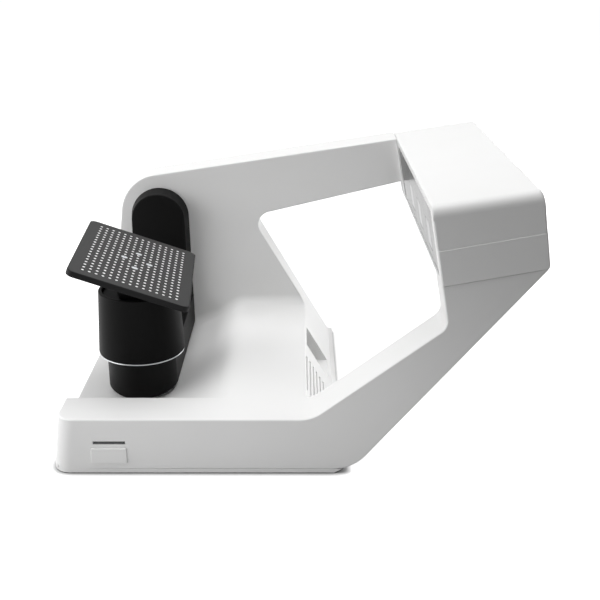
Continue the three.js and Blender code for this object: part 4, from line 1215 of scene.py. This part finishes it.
def foot_bevel():
    """What the foot's back edge leaves to pass the rounded run between trough and wall."""
    across = cove_radius - foot_clearance
    room = cove_radius - arm_clearance
    along = room - math.sqrt(room ** 2 - across ** 2)
    return turn_to_y(turned([
        (arm_reach - across, arm_back),
        (arm_reach + across, arm_back - 2 * along),
        (arm_reach + across, casing_depth),
        (arm_reach - across, casing_depth),
    ], sides=240))


# Polyester powder baked on the casting: a deep satin black, with the slight waviness of the melted powder.
powder_black = "060606"
powder_high = "0B0B0B"
powder_sheen = (0.42, 0.55)
powder_peel = 1.8
powder_relief = 0.02

powder_coat = speckled("black_powder_coat", (powder_black, powder_high), powder_peel, detail=3,
                       sheen=powder_sheen, relief=powder_relief, roughness=0.5, index=1.5, gloss=0.1)

arm = loft([
    [(x, arm_front, z) for x, z in arm_outline(arm_bevel)],
    [(x, arm_back, z) for x, z in arm_outline(0)],
])
limb_front = scan_axis_depth - arm_half_width
limb_plan = rounded([
    (-arm_half_width, limb_front, arm_half_width - hair), (arm_half_width, limb_front, arm_half_width - hair),
    (arm_half_width, arm_back), (-arm_half_width, arm_back),
])
limb = carve(
    prism_y(arm_outline(0), 0, arm_back), "INTERSECT",
    block((-casing_width, casing_width), (0, casing_depth), (-casing_width, -limb_drop)),
    prism_z(limb_plan, -casing_width, 0),
)
carve(arm, "UNION", limb)
carve(arm, "DIFFERENCE", foot_bevel())
soften(arm, arm_edge, sharp_from=arm_crease)
carve(arm, "DIFFERENCE", turn_to_y(rod(shaft_radius + gap, arm_front + shell_wall, casing_depth)))
shown_as(arm, "arm_casting", powder_coat, "swing", "swing_arm", place=casing_place @ swing_place)


# Drum: a black moulded ABS shell over the spin motor, with the spindle's bearing seated under its top.
# A bright ring of turned aluminium is pressed round its foot.
drum_radius = 34.4
drum_taper = 2.7
drum_height = 53.3
drum_floor = 1.8
drum_wall = 2.5
drum_recess = 7
drum_lip = 3.5
drum_edge = 0.9
ring_wall = 1.2
ring_floor = 0.6
ring_inset = 0.5
ring_width = 5
ring_edge = 0.25
bearing_radius = 11
bearing_width = 7
bearing_lip = 0.8

drum_top_radius = drum_radius - drum_taper
turntable_radius = drum_top_radius - drum_lip
drum_place = swing_place @ Matrix.Translation((0, scan_axis_depth, -limb_drop))
on_drum = casing_place @ drum_place

# Black ABS moulded with a fine grain: satin and a little uneven, so that it never mirrors the room sharply.
drum_black = "0A0A0A"
drum_grey = "0F0F0F"
drum_sheen = (0.4, 0.52)
drum_grain = 0.8  # 0.15 on the real tool, drawn coarser so that it shows
drum_relief = 0.015

grained_abs = speckled("grained_black_abs", (drum_black, drum_grey), drum_grain, sheen=drum_sheen,
                       relief=drum_relief, roughness=0.5, index=1.54, gloss=0.05)

# Turned aluminium, left natural: silver, with the fine rings that the tool leaves every half millimetre.
ring_silver = "DADCDD"
ring_shade = "BDC0C2"
ring_sheen = (0.2, 0.32)
tool_pitch = 0.5


def lathe_rings(tree, place):
    """Rings about the drum's axis, as a lathe tool leaves them."""
    centred = add(tree, "ShaderNodeVectorMath", {0: place, 1: on_drum.translation}, operation="SUBTRACT")
    rings = add(
        tree, "ShaderNodeTexWave", {"Vector": centred.outputs["Vector"], "Scale": wave_scale(tool_pitch)},
        wave_type="RINGS", rings_direction="Z")
    return rings.outputs["Fac"]


turned_aluminium, tree, place = finish("turned_aluminium", ring_silver, roughness=0.25, metallic=1)
vary(tree, lathe_rings(tree, place), tint=(ring_silver, ring_shade), sheen=ring_sheen)

recess_floor = drum_height - drum_recess
drum = turned(rounded([
    (drum_radius, drum_floor, drum_edge),
    (drum_top_radius, drum_height, drum_edge),
    (turntable_radius + 2 * gap, drum_height, drum_edge / 2),
    (turntable_radius + 2 * gap, recess_floor),
    (bearing_radius - bearing_lip, recess_floor),
    (bearing_radius - bearing_lip, recess_floor - drum_wall),
    (bearing_radius + gap, recess_floor - drum_wall),
    (bearing_radius + gap, recess_floor - drum_wall - bearing_width),
    (bearing_radius + drum_wall, recess_floor - drum_wall - bearing_width),
    (bearing_radius + drum_wall, recess_floor - drum_wall),
    (drum_top_radius - 2 * drum_wall, recess_floor - drum_wall),
    (drum_radius - drum_wall, drum_floor),
]))
shown_as(drum, "drum_cover", grained_abs, "swing", "drum_shell", place=on_drum)

ring_inside = drum_radius - ring_width
ring_outside = drum_radius - ring_inset
ring_top = gap + ring_wall
ring = turned(rounded([
    (ring_inside, ring_floor, ring_edge), (ring_outside, ring_floor, ring_edge),
    (ring_outside, ring_top, ring_edge), (ring_inside, ring_top, ring_edge),
]))
shown_as(ring, "bright_ring", turned_aluminium, "swing", "drum_trim_ring", place=on_drum)


# Turntable and stand: a black aluminium disc in the drum's top, fixed on the spindle, and on it a moulded
# wedge of the drum's ABS that holds the plate at its lean.
turntable_wall = 4.2
turntable_edge = 1
stand_radius = 17
stand_foot = 3
stand_width = 26
stand_depth = 42
stand_flare = 5
stand_edge = 1
plate_width = 92
plate_length = 132.4
plate_wall = 4.5
plate_corner = 6
plate_lean = math.radians(20.3)
plate_yaw = math.radians(4)

# Aluminium faced on a lathe and anodised black: near black, with rings that catch the light.
disc_black = "0A0A0B"
disc_high = "101012"
disc_relief = 0.01

anodised_disc, tree, place = finish(
    "turned_black_anodised_aluminium", disc_black, roughness=0.5, gloss=0.05)
vary(tree, lathe_rings(tree, place), tint=(disc_black, disc_high), relief=disc_relief)

disc_floor = recess_floor + 2 * gap
disc = turned(rounded([
    (hair, disc_floor), (turntable_radius, disc_floor),
    (turntable_radius, disc_floor + turntable_wall, turntable_edge), (hair, disc_floor + turntable_wall),
]))
shown_as(disc, "turntable_disc", anodised_disc, "turntable", "turntable", place=on_drum)

stage_place = drum_place @ Matrix.Rotation(plate_yaw, 4, "Z")
stand_floor = disc_floor + turntable_wall + gap
stand_top = limb_drop - (plate_wall + gap) / math.cos(plate_lean)
stand_reach = stand_width / 2 + stand_flare
stand_fall = stand_reach * math.tan(plate_lean)
wedge = prism_y([
    (-stand_width / 2, stand_floor + hair), (stand_width / 2, stand_floor + hair),
    (stand_reach, stand_top - stand_fall), (-stand_reach, stand_top + stand_fall),
], -stand_depth / 2, stand_depth / 2)
soften(wedge, stand_edge)
stand = turned(rounded([
    (hair, stand_floor), (stand_radius, stand_floor),
    (stand_radius, stand_floor + stand_foot, stand_edge), (hair, stand_floor + stand_foot),
]), sides=64)
carve(stand, "UNION", wedge)
shown_as(stand, "stand_wedge", grained_abs, "turntable", "plate_stand",
         place=casing_place @ stage_place)


# Dotted plate: a black machined plate, faced with a dark printed film that carries the white dots.
# The film is glued down inside the plate's eased edge, and four screws go through both.
plate_edge = 0.6
film_inset = 0.9
film_wall = 0.12
dot_radius = 1.05
dot_wall = 0.04
dot_sides = 20
dot_columns = 15
dot_rows = 19
dot_pitch_across = 5.064
dot_pitch_along = 6.18
plate_screw_across = 10.1
plate_screw_along = 17.5
plate_screw_bore = 2.7

plate_place = stage_place @ Matrix.Translation((0, 0, limb_drop)) @ Matrix.Rotation(plate_lean, 4, "Y")
on_plate = casing_place @ plate_place
plate_screw_places = (
    (plate_screw_across, 0), (-plate_screw_across, 0), (0, plate_screw_along), (0, -plate_screw_along))

# The plate is aluminium, milled and anodised black: satin, its sheen a little uneven from the cutter.
plate_black = "0A0A0A"
plate_mark = "101011"
plate_sheen = (0.38, 0.55)
cutter_pitch = 1.2

milled_black = speckled("milled_black_anodised_aluminium", (plate_black, plate_mark), cutter_pitch,
                        sheen=plate_sheen, roughness=0.45, gloss=0.12)

# Screen-printed polyester film: matt dark grey without glare, so that the cameras see only the dots.
film_grey = "2C2C2C"
film_light = "343434"
print_mesh = 0.9  # 0.1 on the real screen, drawn coarser so that it shows
print_relief = 0.01

printed_film = speckled("printed_polyester_film", (film_grey, film_light), print_mesh, detail=3,
                        relief=print_relief, roughness=0.7, index=1.64, gloss=0.2)

# The dots are white screen ink, laid on thick: matt and clean, a little uneven where the mesh left it thin.
ink_white = "FFFFFF"
ink_thin = "F0F0F0"
ink_patch = 0.5

screen_ink = speckled("white_screen_ink", (ink_white, ink_thin), ink_patch, roughness=0.6)


def plate_outline(shrink):
    x = plate_width / 2 - shrink
    y = plate_length / 2 - shrink
    return rectangle((-x, x), (-y, y), plate_corner - shrink)


def plate_bores(start, end):
    return [moved(rod(plate_screw_bore, start, end), x, y, 0) for x, y in plate_screw_places]


plate = soften(prism_z(plate_outline(0), -plate_wall, 0), plate_edge)
carve(plate, "DIFFERENCE", *plate_bores(-screw_head_height - gap, overrun))
shown_as(plate, "plate_body", milled_black, "turntable", "dotted_plate", place=on_plate)
film = prism_z(plate_outline(film_inset), -film_wall, film_wall / 2)
carve(film, "DIFFERENCE", *plate_bores(-overrun, overrun))
shown_as(film, "plate_film", printed_film, "turntable", slot="plate_coat", place=on_plate)


def clear_of_screws(x, y):
    return all(math.hypot(x - a, y - b) > plate_screw_bore + dot_radius for a, b in plate_screw_places)


def dot_ring(x, y, height):
    return [dots.verts.new((*point, height)) for point in circle(x, y, dot_radius, dot_sides)]


dots = bmesh.new()
for column in range(dot_columns):
    for row in range(dot_rows):
        x = (column - (dot_columns - 1) / 2) * dot_pitch_across
        y = (row - (dot_rows - 1) / 2) * dot_pitch_along
        if clear_of_screws(x, y):
            top = dot_ring(x, y, film_wall / 2 + dot_wall)
            low = dot_ring(x, y, film_wall / 2 - dot_wall)
            dots.faces.new(top)
            dots.faces.new(low[::-1])
            for k, corner in enumerate(low):
                after = (k + 1) % len(low)
                dots.faces.new((corner, low[after], top[after], top[k]))
dot_mesh = bpy.data.meshes.new("dots")
dots.to_mesh(dot_mesh)
dots.free()
shown_as(new_object("dots", dot_mesh), "printed_dots", screen_ink, "turntable", slot="plate_coat",
         place=on_plate)


# Plate screws: four pan heads that hold the plate to its stand, flush with the film. They are of the same
# zinc-plated steel as the others and stand in a cross round the plate's middle.
plate_screw_length = 11

for k in range(1, 5):
    low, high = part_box(f"plate_screw_{k}")
    middle = on_plate.inverted() @ ((low + high) / 2)
    x, y = min(plate_screw_places, key=lambda place: math.hypot(place[0] - middle.x, place[1] - middle.y))
    shown_as(pan_screw(plate_screw_length), f"plate_screw_{k}_pan_head", zinc_plate, "turntable",
             f"plate_screw_{k}", place=on_plate @ Matrix.Translation((x, y, 0)))
